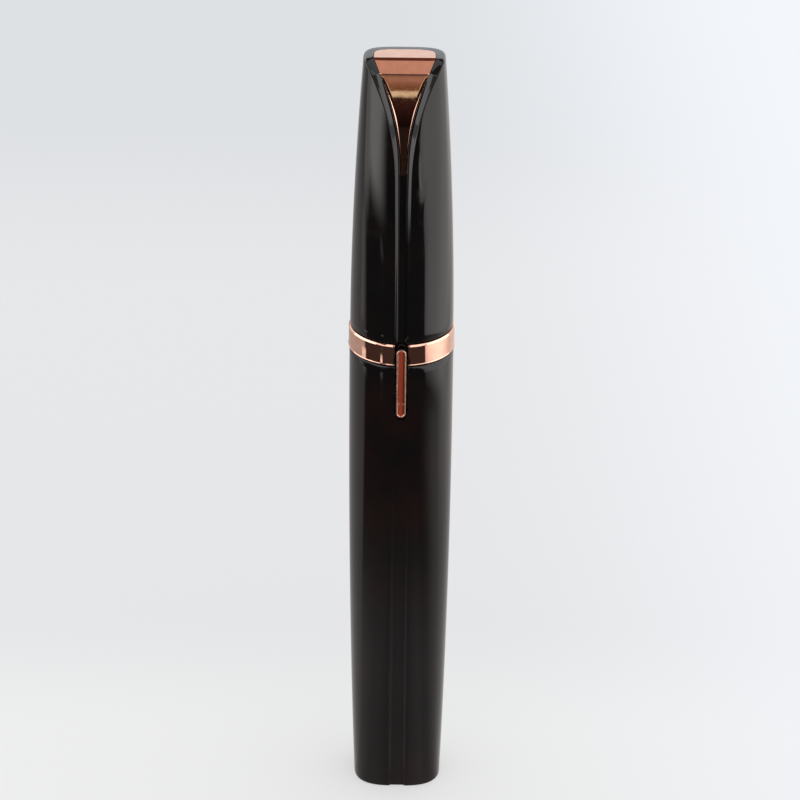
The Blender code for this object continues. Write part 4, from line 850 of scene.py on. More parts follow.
def cap_section(height):
    """The cap's section at a height."""
    sizes = values("cap")
    up = clamp((height - CAP_FOOT) / (PEN_TOP - CAP_FOOT))
    half_width = CAP_HALF_WIDTH - sizes.taper * up ** sizes.taper_power
    return section_part(half_width, sizes.depth_share, sizes.squareness, up)


def top_height(y):
    """The height of the sloping top."""
    return PEN_TOP - (y + values("inlay").fold_setback) * math.tan(values("cap").slope)


def inlay_profile():
    """The inlay's side view from its tip to the foot of its facet, as (setback, height) pairs."""
    sizes = values("inlay")
    tip = Vector((front_of(cap_section(INLAY_TIP), 0.0) - sizes.tip_depth, INLAY_TIP))
    foot = Vector((sizes.fold_setback + sizes.facet, PEN_TOP - sizes.facet))
    bend = Vector((foot.x + (tip.x - foot.x) * sizes.bend_setback_share,
                   foot.y + (tip.y - foot.y) * sizes.bend_height_share))
    return curve(tip, bend, foot, 26)


def groove_setback(height, profile):
    """How far in front of the axis the groove's floor lies."""
    sizes = values("cap")
    if height <= INLAY_TIP:
        part = (height - CAP_FOOT) / (INLAY_TIP - CAP_FOOT)
        depth = sizes.flute_depth + (values("inlay").tip_depth - sizes.flute_depth) * max(0.0, part) ** 3
        return front_of(cap_section(height), 0.0) - depth
    for low, high in zip(profile, profile[1:]):
        if height <= high.y:
            return low.x + (high.x - low.x) * (height - low.y) / (high.y - low.y)
    return profile[-1].x - (height - profile[-1].y)


def opening(height, foot, least, most, power):
    """A half width that opens from least at a foot to most at the pen's top."""
    return least + (most - least) * clamp((height - foot) / (PEN_TOP - foot)) ** power


def inlay_half_width(height):
    """Half the inlay's width at a height."""
    sizes = values("inlay")
    return opening(height, INLAY_TIP, sizes.tip_half_width, INLAY_HALF_WIDTH, sizes.power)


def lapel_half_width(height):
    """Half the width between the creases at a height."""
    sizes = values("cap")
    top = INLAY_HALF_WIDTH + sizes.lapel_width
    return opening(height, INLAY_TIP - sizes.lapel_drop, sizes.flute_half_width, top, sizes.lapel_power)


def cap_ring(height, profile, inset=0.0):
    """One ring of the cap's outside, tilted towards the top's slope near the top."""
    sizes = values("cap")
    tilt_reach = 0.014
    tilt = max(0.0, 1 - (PEN_TOP - height) / tilt_reach) ** 2
    half_width, half_depth, squareness = cap_section(height)
    section = (half_width - inset, half_depth - inset, squareness)
    ledge = values("inlay").gap + 0.00005
    edge = max(sizes.flute_floor_half_width, inlay_half_width(height) + ledge)
    widest = half_width * 0.985
    crease_inset = inset * 0.6
    crease = min(lapel_half_width(height), widest) - crease_inset
    half = skin_half(section, (edge, groove_setback(height, profile)), crease, sizes.crease_round,
                     skin_steps=52, wall_steps=6, round_steps=5, swell=sizes.lapel_swell)
    return whole_ring(half, lambda point: height + tilt * (top_height(point.y) - PEN_TOP))


def inlay_rows(margin):
    """Rows over the inlay's face from its tip to its back end, as (y, height, half width)."""
    sizes = values("inlay")
    profile = inlay_profile()
    tip = profile[0]
    tip_radius = sizes.tip_half_width
    blunt_share = 0.08
    narrow_share = 0.55
    rows = [(-tip.x, tip.y, tip_radius * blunt_share)]
    for angle in spread(0.0, math.pi / 2, 7):
        way = tip_radius * (1 - math.cos(angle))
        setback = tip.x + (profile[1].x - tip.x) * way / (profile[1].y - tip.y)
        rows.append((-setback, tip.y + way, tip_radius * math.sin(angle)))
    foot = Vector((-profile[-1].x, profile[-1].y))
    fold = Vector((-sizes.fold_setback, PEN_TOP))
    _, half_depth, squareness = cap_section(PEN_TOP)
    back = half_depth - values("cap").rim_round - sizes.back_rim
    places = [(-point.x, point.y) for point in profile[1:]]
    places += [tuple(foot.lerp(fold, part)) for part in spread(0.0, 1.0, 4)]
    for angle in spread(0.0, math.pi / 2, 14):
        y = fold.x + (back - fold.x) * math.sin(angle)
        places.append((y, top_height(y)))
    for y, height in places:
        half = INLAY_HALF_WIDTH if y > fold.x else inlay_half_width(height)
        if y > 0.0:
            half *= max(narrow_share, max(0.0, 1 - (y / back) ** squareness) ** (1 / squareness))
        if y > rows[-1][0] or height > rows[-1][1]:
            rows.append((y, height, half))
    return [(y, height, half + margin) for y, height, half in rows]


def bent_plate(name, rows):
    """A thin plate bent over rows of points, from a grid."""
    deselect()
    bpy.ops.mesh.primitive_grid_add(x_subdivisions=10, y_subdivisions=len(rows) - 1, size=2.0)
    plate = named(name)
    for vertex in plate.data.vertices:
        row = rows[round((vertex.co.y + 1) / 2 * (len(rows) - 1))]
        vertex.co = (vertex.co.x * row[2], row[0], row[1])
    return plate


def thick_plate(name, margin, sunk, thickness):
    """The inlay's plate, widened by a margin, its face sunk by a little and its back that thickness below."""
    rows = inlay_rows(margin)
    first = rows[0]
    rows[0] = (first[0], first[1] - margin, first[2])
    last = rows[-1]
    rows[-1] = (last[0] + margin, top_height(last[0] + margin), last[2])
    plate = bent_plate(name, rows)
    clean(plate, merge=0.00000001)
    normals = [vertex.normal.copy() for vertex in plate.data.vertices]
    facing = 1.0 if normals[0].y < 0 else -1.0
    for vertex, normal in zip(plate.data.vertices, normals):
        vertex.co -= normal * facing * sunk
    modify(plate, "SOLIDIFY", thickness=thickness, offset=-facing)
    return clean(plate)


class TRIMMER_OT_cap(bpy.types.Operator):
    """Model the cap with its flute, lapels and the pocket for the inlay"""
    bl_idname = "trimmer.cap"
    bl_label = "Cap"

    def execute(self, context):
        sizes = values("cap")
        inlay = values("inlay")
        profile = inlay_profile()
        mouth = LINER_RADIUS + GAP
        roof = GUARD_TOP + HEAD_PULL + sizes.bore_clearance
        rounding = sizes.mouth_round
        foot = CAP_FOOT + rounding
        first_outer = cap_ring(foot, profile)
        vault_inset = 0.0003
        vault_drop = 0.0032
        bore = [(GUARD_RIM_RADIUS - vault_inset, roof),
                (GUARD_RIM_RADIUS + sizes.bore_clearance, roof - vault_drop),
                (HEAD_RADIUS + sizes.bore_clearance, NECK_TOP + GAP + HEAD_PULL), (mouth, LINER_TOP + GAP),
                (mouth, foot), (mouth + rounding, CAP_FOOT)]
        rings = [bore_ring(first_outer, radius, height) for radius, height in bore]
        for rise, inset in quarter(4):
            ring = cap_ring(foot, profile, rounding * inset)
            rings.append([(x, y, CAP_FOOT + rounding * rise) for x, y, _ in ring])
        lapel = INLAY_TIP - sizes.lapel_drop
        rim = sizes.rim_round
        for height in spread(foot, lapel, 20) + spread(lapel, PEN_TOP - rim, 62):
            rings.append(cap_ring(height, profile))
        rings += [cap_ring(PEN_TOP - rim * drop, profile, rim * inset) for inset, drop in quarter(6)[1:]]
        cap = tube("cap", rings)
        raised = inlay.thickness
        carve(cap, thick_plate("pocket", inlay.gap, -raised, inlay.thickness + inlay.gap + raised))
        seat(cap, "cap", "gloss_black", "gloss_black", "cap_shell")
        return {"FINISHED"}


def round_fold(plate, setback, height, rounding):
    """Round the plate's outer face at a fold."""
    reach = 0.00015
    select_edges(plate, lambda *ends: all(abs(end.y + setback) < reach and abs(end.z - height) < reach
                                          for end in ends))
    bpy.ops.mesh.bevel(offset=rounding, segments=6, affect="EDGES")
    bpy.ops.object.mode_set(mode="OBJECT")


class TRIMMER_OT_inlay(bpy.types.Operator):
    """Model the rose gold inlay, bent over the cap's top"""
    bl_idname = "trimmer.inlay"
    bl_label = "Inlay"

    def execute(self, context):
        sizes = values("inlay")
        inlay = thick_plate("inlay", 0.0, -sizes.proud, sizes.thickness)
        round_fold(inlay, sizes.fold_setback, PEN_TOP, sizes.fold_round)
        round_fold(inlay, sizes.fold_setback + sizes.facet, PEN_TOP - sizes.facet, sizes.fold_round / 2)
        soften(inlay, sizes.edge_bevel, segments=3, angle=62.0)
        seat(inlay, "cap", "rose_gold", "rose_gold", "cap_inlay", smooth=20.0)
        return {"FINISHED"}


# The band and the switch bar

class TRIMMER_OT_band(bpy.types.Operator):
    """Model the rose gold band, open at the switch"""
    bl_idname = "trimmer.band"
    bl_label = "Band"

    def execute(self, context):
        sizes = values("metalwork")
        inner = BAND_RADIUS - sizes.band_wall
        foot = BAND_FOOT - sizes.band_reach * 0.8
        top = BAND_TOP + sizes.band_reach
        lip = sizes.band_lip
        edge = lip * 0.2
        wall = BAND_RADIUS - lip * 0.25
        profile = rounded([
            (BAND_RADIUS - lip * 0.45, foot, edge), (BAND_RADIUS, foot + lip * 0.45, edge / 2),
            (BAND_RADIUS, foot + lip * 0.7, edge / 2), (wall, foot + lip, edge / 3),
            (wall, foot + lip * 1.2, 0.0), (wall, top - lip * 1.2, 0.0),
            (wall, top - lip, edge / 2), (wall - lip * 0.72, top, edge),
            (inner, top, edge), (inner, foot, edge)], closed=True)
        half_gap = BAR_HIGH.x + values("barrel").slot_gap
        rings = []
        for part in (0.0, *spread(0.0, 1.0, 150)):
            ring = []
            for radius, height in profile:
                start = math.asin(half_gap / radius)
                angle = start + (math.tau - 2 * start) * part
                ring.append((radius * math.sin(angle), -radius * math.cos(angle), height))
            rings.append(ring)
        band = tube("band", rings)
        end_round = 0.00006
        soften(band, end_round, segments=2, angle=60.0)
        seat(band, "core", "rose_gold", "rose_gold", "collar_band")
        return {"FINISHED"}


def dish_depth(sizes, across, height):
    """How deep the switch bar's dish is, at a share of its half width and a height."""
    step_top = BAR_LOW.z + sizes.bar_step
    step_reach = 0.00025
    step_share = 0.62
    fullness = 0.8
    hollow = max(0.0, 1 - across ** 2) ** fullness
    return sizes.bar_dish * hollow * (1 - step_share * clamp((step_top - height) / step_reach))


class TRIMMER_OT_switch_bar(bpy.types.Operator):
    """Model the dished bar of the slide switch"""
    bl_idname = "trimmer.switch_bar"
    bl_label = "Switch bar"

    def execute(self, context):
        sizes = values("metalwork")
        half_width = BAR_HIGH.x - sizes.bar_margin
        reach = BAR_HIGH.z - BAR_LOW.z
        middle = (BAR_HIGH.z + BAR_LOW.z) / 2
        front = -BAR_LOW.y
        back = -BAR_HIGH.y
        chamfer = 0.0001
        bead = sizes.bar_rim / 2
        outline = [(chamfer, back), (0.0, back + chamfer), (0.0, front - bead)]
        for angle in spread(0.0, math.pi, 9)[:-1]:
            outline.append((bead * (1 - math.cos(angle)), front - bead + bead * math.sin(angle)))

        def ring(inset, forward):
            return capsule(half_width - inset, reach - 2 * inset, 160, forward, middle)

        rings = [ring(inset, forward) for inset, forward in outline]
        dish = half_width - sizes.bar_rim
        dish_edge = front - bead * 0.6
        levels = 10
        for step in range(1, levels + 1):
            across = 1 - step / (levels + 0.5)
            level = ring(half_width - dish * across, dish_edge)
            rings.append([(x, y + dish_depth(sizes, across, z), z) for x, y, z in level])
        seat(tube("bar", rings), "switch", "rose_gold", "bar_finish", "switch_bar", smooth=50.0)
        return {"FINISHED"}


# Neck, head and guard

class TRIMMER_OT_neck(bpy.types.Operator):
    """Model the neck with its seal groove and lamp hole"""
    bl_idname = "trimmer.neck"
    bl_label = "Neck"

    def execute(self, context):
        low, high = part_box("neck")
        outer = HEAD_RADIUS
        inner = values("metalwork").spigot + GAP
        groove_foot = SEAL_FOOT - GAP / 2
        groove_top = SEAL_TOP + GAP / 2
        groove_floor = SEAL_RADIUS - (SEAL_TOP - SEAL_FOOT) - GAP / 2
        edge = 0.00012
        profile = rounded([
            (inner, low.z, edge), (high.x, low.z, edge), (high.x, BAND_TOP, edge),
            (outer, BAND_TOP, edge * 2), (outer, groove_foot, edge / 2),
            (groove_floor, groove_foot, edge / 2), (groove_floor, groove_top, edge / 2),
            (outer, groove_top, edge / 2),
            (outer, high.z, edge * 2), (inner, high.z, edge * 2)], closed=True)
        neck = turned_ring("neck_collar", profile, 128)
        hole = (LENS_HIGH.x - LENS_LOW.x) / 2 + GAP
        middle = (LENS_LOW.z + LENS_HIGH.z) / 2
        flare = 0.00065
        flare_start = outer - 0.00015
        flare_end = outer + 0.0005
        rings = []
        for radius, front in ((hole, inner - 0.001), (hole, flare_start), (hole + flare, flare_end)):
            rings.append([(x, -front, middle + z) for x, z, _ in circle(radius, 0.0, 48)])
        carve(neck, tube("lamp_hole", rings))
        seat(neck, "core", "gloss_black", "gloss_black", "neck")
        return {"FINISHED"}


def head_outside():
    """The head's outer side as (radius, height) pairs from the foot up, drawn in at its waist."""
    sizes = values("metalwork")
    foot = Vector((HEAD_RADIUS, NECK_TOP + GAP))
    top = Vector((sizes.head_top, HEAD_TOP))
    waist = Vector((top.x + (foot.x - top.x) * sizes.head_waist, (foot.y + top.y) / 2))
    return curve(foot, waist, top, 22)


class TRIMMER_OT_head(bpy.types.Operator):
    """Model the pull-off head's shell"""
    bl_idname = "trimmer.head"
    bl_label = "Head"

    def execute(self, context):
        sizes = values("metalwork")
        outside = head_outside()
        foot, top = outside[0], outside[-1]
        below_top = outside[-2]
        wall = sizes.head_wall
        inner_foot = sizes.spigot - sizes.spigot_wall
        edge = 0.00012
        profile = rounded([(sizes.spigot, foot.y, 0.0), (foot.x, foot.y, edge), (*outside[1], 0.0)])
        profile += [tuple(point) for point in outside[2:-1]]
        profile += rounded([(below_top.x, below_top.y, 0.0), (top.x, top.y, edge * 1.6),
                            (top.x - wall, top.y, edge / 2), (below_top.x - wall, below_top.y, 0.0)])[1:]
        profile += [(point.x - wall, point.y) for point in reversed(outside[1:-2])]
        profile += rounded([(inner_foot, foot.y, 0.0), (inner_foot, SPIGOT_FOOT, edge),
                            (sizes.spigot, SPIGOT_FOOT, edge), (sizes.spigot, foot.y - edge, 0.0)], 3)
        head = turned_ring("head", profile, 128)
        seat(head, "head", "rose_gold", "head_gold", "head_shell", smooth=40.0)
        return {"FINISHED"}


class TRIMMER_OT_guard(bpy.types.Operator):
    """Model the slotted guard over the cutter"""
    bl_idname = "trimmer.guard"
    bl_label = "Guard"

    def execute(self, context):
        sizes = values("metalwork")
        inner = sizes.guard - sizes.guard_wall
        rim_top = GUARD_FOOT + sizes.guard_rim
        under = GUARD_TOP - sizes.guard_wall
        edge = 0.00008
        centre = 0.0002
        profile = rounded([
            (centre, under, 0.0), (inner, under, edge), (inner, GUARD_FOOT, edge),
            (GUARD_RIM_RADIUS, GUARD_FOOT, edge), (GUARD_RIM_RADIUS, rim_top, edge * 1.5),
            (sizes.guard, rim_top, edge), (sizes.guard, GUARD_TOP, sizes.guard_wall * 1.1),
            (centre, GUARD_TOP, 0.0)], 5)
        guard = turned_solid("guard", profile, 120)
        slot_end = sizes.guard - sizes.guard_slot_margin
        shape = capsule(sizes.guard_slot_width / 2, slot_end - sizes.guard_slot_inner, 28, 0.0,
                        (slot_end + sizes.guard_slot_inner) / 2)
        past = 0.0002
        tools = []
        for slot in range(sizes.guard_slots):
            angle = math.tau * (slot + 0.5) / sizes.guard_slots
            spin = Matrix.Rotation(angle - math.pi / 2, 3, "Z")
            rings = [[tuple(spin @ Vector((x, z, height))) for x, _, z in shape]
                     for height in (under - past, GUARD_TOP + past)]
            tools.append(tube("slot_tool", rings))
        deselect()
        for tool in tools:
            tool.select_set(True)
        bpy.context.view_layer.objects.active = tools[0]
        bpy.ops.object.join()
        carve(guard, tools[0])
        seat(guard, "head", "soft_gold", "soft_gold", "cutter_guard", smooth=40.0)
        return {"FINISHED"}


# Battery and spring

class TRIMMER_OT_battery(bpy.types.Operator):
    """Model the battery's steel can, its film and its spring"""
    bl_idname = "trimmer.battery"
    bl_label = "Battery and spring"

    def execute(self, context):
        radius = CELL_HIGH.x
        foot = CELL_LOW.z
        shoulder = CELL_HIGH.z - 0.0010
        film = 0.00008
        can = radius - film
        nub = 0.0019
        centre = 0.0002
        recess = 0.00025
        foot_ring = 0.0036
        crisp = 0.0001
        can_piece = turned_solid("battery_can", rounded([
            (centre, foot + recess, 0.0), (foot_ring - 0.0002, foot + recess, crisp),
            (foot_ring, foot, crisp), (can, foot, 0.00035), (can, shoulder, 0.00045),
            (nub + 0.0004, shoulder - 0.00012, crisp), (nub, shoulder, film), (nub, CELL_HIGH.z, 0.00022),
            (centre, CELL_HIGH.z, 0.0)], 5), 112)
        seat(can_piece, "core", "nickel", "nickel", "battery_cell", smooth=40.0)
        film_foot = foot + 0.0004
        inside = can - 0.00002
        sleeve = turned_ring("battery_film", rounded([
            (radius, film_foot, film / 3), (radius, shoulder - 0.0006, film),
            (radius - 0.0005, shoulder - 0.00004, 0.00003), (radius - 0.0006, shoulder - 0.0002, 0.00002),
            (inside, shoulder - 0.0009, 0.00002), (inside, film_foot, film / 3)], closed=True), 112)
        seat(sleeve, "core", "cell_jacket", "cell_film", smooth=40.0)
        self.spring()
        return {"FINISHED"}

    @staticmethod
    def spring():
        """Turn a wire's circle into a coil that narrows upwards to half its radius."""
        wire = 0.00025
        foot_radius = SPRING_HIGH.x - wire
        foot = SPRING_LOW.z + wire
        rise = SPRING_HIGH.z - SPRING_LOW.z - 2 * wire
        turns = 4
        steps = 36
        deselect()
        bpy.ops.mesh.primitive_circle_add(vertices=10, radius=wire, fill_type="NGON",
                                          location=(foot_radius, 0.0, foot), rotation=(math.pi / 2, 0.0, 0.0))
        coil = named("spring")
        bpy.ops.object.transform_apply(location=True, rotation=True, scale=False)
        modify(coil, "SCREW", iterations=turns, screw_offset=rise / turns, steps=steps, render_steps=steps)
        for vertex in coil.data.vertices:
            reach = math.hypot(vertex.co.x, vertex.co.y)
            narrowed = reach - foot_radius / 2 * clamp((vertex.co.z - foot) / rise)
            vertex.co.x *= narrowed / reach
            vertex.co.y *= narrowed / reach
        clean(coil)
        seat(coil, "core", "nickel", "nickel", "battery_spring", smooth=60.0)


# The other inner pieces: copies of nodes with their hard edges rounded, as (body, slot, rounding)
SOFTENED = {
    "chassis_tray": ("core", "matt_black", 0.00010),
    "motor_clamp": ("core", "matt_black", 0.00010),
    "motor_can": ("core", "steel", 0.00010),
    "motor_end_cap": ("core", "cream_plastic", 0.00012),
    "motor_terminal_left": ("core", "copper", 0.00005),
    "motor_terminal_right": ("core", "copper", 0.00005),
    "motor_plate": ("core", "steel", 0.00008),
    "motor_screw_left": ("core", "steel", 0.00006),
    "motor_screw_right": ("core", "steel", 0.00006),
    "negative_contact": ("core", "nickel", 0.00003),
    "positive_contact": ("core", "nickel", 0.00004),
    "switch_board": ("core", "board_green", 0.00005),
    "slide_switch_case": ("core", "steel", 0.00010),
    "board_chip": ("core", "matt_black", 0.00006),
    "board_coil": ("core", "copper", 0.00010),
    "switch_track": ("core", "matt_black", 0.00006),
    "switch_carriage": ("switch", "matt_black", 0.00008),
    "drive_coupling": ("rotor", "cream_plastic", 0.00008),
    "head_bush": ("head", "white_plastic", 0.00006),
    "cutter_hub": ("cutter", "white_plastic", 0.00008),
    "cutter_blade": ("cutter", "steel", 0.00003),
    "cutter_spindle": ("cutter", "white_plastic", 0.00004),
    "cap_liner": ("cap", "matt_black", 0.00006),
}
# Finishes of softened pieces that aren't named like their slots
OWN_FINISH = {
    "motor_terminal_left": "terminal_copper",
    "motor_terminal_right": "terminal_copper",
    "switch_board": "board_lacquer",
}
# Nodes that keep their own shape, and their finishes
DRESSED = {
    "lead_black": "black_lead",
    "lead_red": "red_lead",
    "neck_seal": "seal_rubber",
    "lamp_lens": "clear_lens",
    "lamp": "white_plastic",
    "lamp_lead_left": "steel",
    "lamp_lead_right": "steel",
    "motor_shaft": "steel",
}


class TRIMMER_OT_inside(bpy.types.Operator):
    """Finish the motor, board, contacts, drive and the other inner pieces"""
    bl_idname = "trimmer.inside"
    bl_label = "Inside"

    def execute(self, context):
        for node, (body, slot, width) in SOFTENED.items():
            piece = bpy.data.objects.new(node + "_finished", NODES[node].data.copy())
            context.scene.collection.objects.link(piece)
            clean(piece, merge=0.000001)
            modify(piece, "DECIMATE", decimate_type="DISSOLVE", angle_limit=math.radians(1.0))
            soften(piece, width, segments=2, angle=35.0)
            seat(piece, body, slot, OWN_FINISH.get(node, slot), node, smooth=34.0)
        for node, finish in DRESSED.items():
            wear(NODES[node].data, finish)
        return {"FINISHED"}


class TRIMMER_OT_finishes(bpy.types.Operator):
    """Make the finishes that the pieces wear"""
    bl_idname = "trimmer.finishes"
    bl_label = "Finishes"

    def execute(self, context):
        make_finishes()
        return {"FINISHED"}


# Studio

# Below, angles are degrees from the front, positive to the right. A window is low, full, fading and gone.

# How much the dark flag covers the table just before the pen, by degrees from the far left
FLAG_SHARES = [
    (0.0, 0.18), (30.0, 0.275), (45.0, 0.37), (57.0, 0.40), (65.0, 0.42), (71.0, 0.49), (78.0, 0.58),
    (88.0, 0.50), (92.0, 0.50), (97.0, 0.57), (100.0, 0.57), (106.0, 0.455), (115.0, 0.37),
    (120.0, 0.32), (126.0, 0.33), (131.0, 0.39), (145.0, 0.45), (160.0, 0.50)]
# The right panel's inner edge: how far right it lies at each place ahead of the pen
PANEL_EDGE = [
    (0.0, 0.136), (0.105, 0.136), (0.127, 0.154), (0.143, 0.167), (0.189, 0.188), (0.268, 0.190),
    (0.285, 0.203), (0.300, 0.195), (0.330, 0.168), (0.400, 0.150), (0.5, 0.14)]
# Small patches on the table: a window of reach, a window of angle, and a brightness
BELT = (0.1675, 0.1690, 0.1775, 0.1790)
PATCHES = (
    ((0.188, 0.198, 0.262, 0.285), (-104.0, -101.0, -94.0, -88.0), 0.75),
    ((0.262, 0.270, 0.284, 0.292), (-45.0, -43.0, -38.0, -36.0), 0.40),
    (BELT, (-47.0, -45.0, -41.0, -39.5), 1.25),
    (BELT, (-95.0, -92.0, -84.0, -80.0), 1.0),
    (BELT, (-12.0, -8.0, 14.0, 20.0), 0.012),
)
# The dim room in front, by height
ROOM_TONES = [
    (0.0, (0.004, 0.004, 0.003)), (0.05, (0.024, 0.011, 0.011)), (0.085, (0.042, 0.020, 0.016)),
    (0.103, (0.165, 0.092, 0.04)), (0.112, (0.20, 0.11, 0.065)), (0.121, (0.276, 0.170, 0.115)),
    (0.130, (0.357, 0.245, 0.18)), (0.18, (0.30, 0.20, 0.15)), (0.30, (0.12, 0.07, 0.05))]
# Cards of one colour: a colour and a strength
GLOWS = {
    "dim": ((1.0, 0.72, 0.62), 0.12),
    "lapel": ((1.0, 0.95, 0.92), 0.42),
    "key": ((1.0, 0.98, 0.96), 1.5),
    "fold": ((1.0, 0.42, 0.32), 0.11),
    "facet": ((0.58, 0.41, 0.34), 1.0),
}
# Standing cards, curved round the pen: a glow, two angles, a distance, a foot and a top
STANDING = {
    "front_flag": ("dim", -14.0, 14.0, 1.02, 0.30, 0.84),
    "front_left_card": ("lapel", -80.0, -14.0, 1.02, 0.30, 0.84),
    "front_right_card": ("lapel", 14.0, 80.0, 1.02, 0.30, 0.84),
    "front_top_flag": ("dim", -12.0, 12.0, 1.02, 0.84, 1.20),
    "key_left": ("key", -75.0, -12.0, 1.02, 0.85, 1.36),
    "key_right": ("key", 12.0, 75.0, 1.02, 0.85, 1.36),
    "side_panel_left": ("side", -118.0, -60.0, 0.55, 0.115, 0.50),
    "side_panel_right": ("side", 60.0, 118.0, 0.55, 0.115, 0.50),
    "upper_left_flag": ("dim", -105.0, -40.0, 0.6, 0.62, 1.30),
}


def around(azimuth, distance, height):
    """A place at an angle from the front, positive to the right."""
    return (distance * math.sin(azimuth), -distance * math.cos(azimuth), height)


def cover(base, mask, value):
    """A value laid over another where a mask is 1."""
    return base + (value - base) * mask


def glow(name):
    """A light-giving finish, with the sockets of its emission node."""
    finish = Finish(name + "_glow")
    light = finish.node("Emission")
    finish.plug(finish.nodes["Material Output"].inputs["Surface"], light)
    return finish, light.socket.node.inputs


def plain_glow(name, tone, strength):
    """A glow of one colour."""
    finish, light = glow(name)
    finish.plug(light["Color"], tone)
    finish.plug(light["Strength"], strength)
    return finish.material


def card(name, material, corner, columns=24, rows=1):
    """A sheet of the studio, shaped from a grid by a function of its two shares, seen only in reflections."""
    deselect()
    bpy.ops.mesh.primitive_grid_add(x_subdivisions=columns, y_subdivisions=rows, size=2.0)
    sheet = named(name)
    for vertex in sheet.data.vertices:
        vertex.co = corner((vertex.co.x + 1) / 2, (vertex.co.y + 1) / 2)
    sheet.data.materials.append(material)
    sheet.visible_camera = False
    sheet.visible_diffuse = False
    sheet.visible_shadow = False


def arc(low_azimuth, high_azimuth, distance, foot, top):
    """The shape of a standing card, curved round the pen."""
    low = math.radians(low_azimuth)
    high = math.radians(high_azimuth)
    return lambda u, v: around(low + (high - low) * u, distance, foot + (top - foot) * v)


def table_glow():
    """What reflections see on the table: dark flags in front, a softbox to the left, a panel to the right."""
    sizes = values("stage")
    finish, light = glow("table")
    across, along, _ = finish.axes()
    ahead = 0.0 - along
    reach = (across * across + ahead * ahead) ** 0.5
    angle = across.maths("ARCTAN2", ahead) * math.degrees(1)
    near_pen = finish.ramp(reach, 0.095, 0.04) * 0.12
    behind = finish.ramp(angle, 84.0, 100.0) * finish.ramp(reach, 0.09, 0.16, 0.12, 0.32)
    tone = near_pen + sizes.table + behind

    far = finish.ramp(reach, 0.145, 0.165)
    right = finish.ramp(angle - finish.ramp(reach, 0.130, 0.090) * 7.0, 38.0, 79.0) * (1.0 - far)
    beyond = finish.ramp(angle, 96.0, 112.0)
    front = finish.ramp(angle, -90.0, -82.0) * (1.0 - right) * (1.0 - beyond)
    shade = finish.stops(angle + 90.0, 180.0, FLAG_SHARES)
    dark = front * cover(shade, finish.ramp(reach, 0.045, 0.130), 0.98)
    tone = cover(tone, dark, finish.ramp(reach, 0.25, 0.40, sizes.flag, sizes.flag * 0.25))

    away = (reach - 0.5).maths("MAXIMUM", 0.0) * 0.35 - across
    start = reach + finish.ramp(angle, -70.0, -82.0) * 0.035
    soft = finish.ramp(away, 0.13, 0.29) * finish.ramp(start, 0.285, 0.365)
    soft = soft * finish.ramp(angle, -100.0, -92.0) * (1.0 - finish.ramp(angle, -11.0, -5.0))
    tone = cover(tone, soft, sizes.softbox - finish.ramp(angle, -56.0, -86.0) * sizes.softbox * 0.5)

    past = across - finish.stops(ahead, 0.5, PANEL_EDGE)
    near = reach - (0.170 - (angle - 55.0) * 0.00035)
    panel = finish.ramp(past, -0.003, 0.004) * finish.ramp(near, -0.010, 0.012) * (1.0 - beyond * 0.2)
    shine = sizes.panel + finish.ramp(past, 0.0, 0.05) * 0.45 + finish.ramp(reach, 0.25, 0.45) * 0.25
    tone = cover(tone, panel, shine - finish.ramp(angle, 98.0, 128.0) * 0.35)

    for reaches, angles, brightness in PATCHES:
        patch = finish.window(reach, *reaches) * finish.window(angle, *angles)
        tone = cover(tone, patch, brightness)
    rim = finish.window(past, -0.014, -0.007, 0.005, 0.011) * finish.window(reach, 0.345, 0.36, 0.46, 0.48)
    tone = cover(tone, rim * finish.ramp(angle, 4.0, 8.0), 2.2)
    sides = finish.window(angle.maths("ABSOLUTE"), 62.0, 76.0, 112.0, 130.0) * finish.ramp(reach, 0.50, 0.58)
    tone = cover(tone, sides, sizes.side)

    tint = finish.blend(finish.ramp(tone, 0.06, 0.45), (0.88, 0.68, 0.60), (1.0, 0.97, 0.94))
    finish.plug(light["Color"], finish.node("VectorMath", {"operation": "SCALE"}, {0: tint, "Scale": tone}))
    return finish.material


def room_glow():
    """The dim room in front, up its height, with a warm ragged patch."""
    finish, light = glow("room")
    _, _, height = finish.axes()
    wave = finish.noise(330.0, 3.0, (1.0, 1.0, 0.0))
    above = finish.ramp(height + wave * 0.016, 0.0915, 0.0925)
    patch = above * (1.0 - finish.ramp(height + wave * 0.002, 0.1000, 0.1010))
    wall = finish.stops(height, 0.3, ROOM_TONES)
    finish.plug(light["Color"], finish.blend(patch, wall, (0.70, 0.74, 0.54)))
    return finish.material


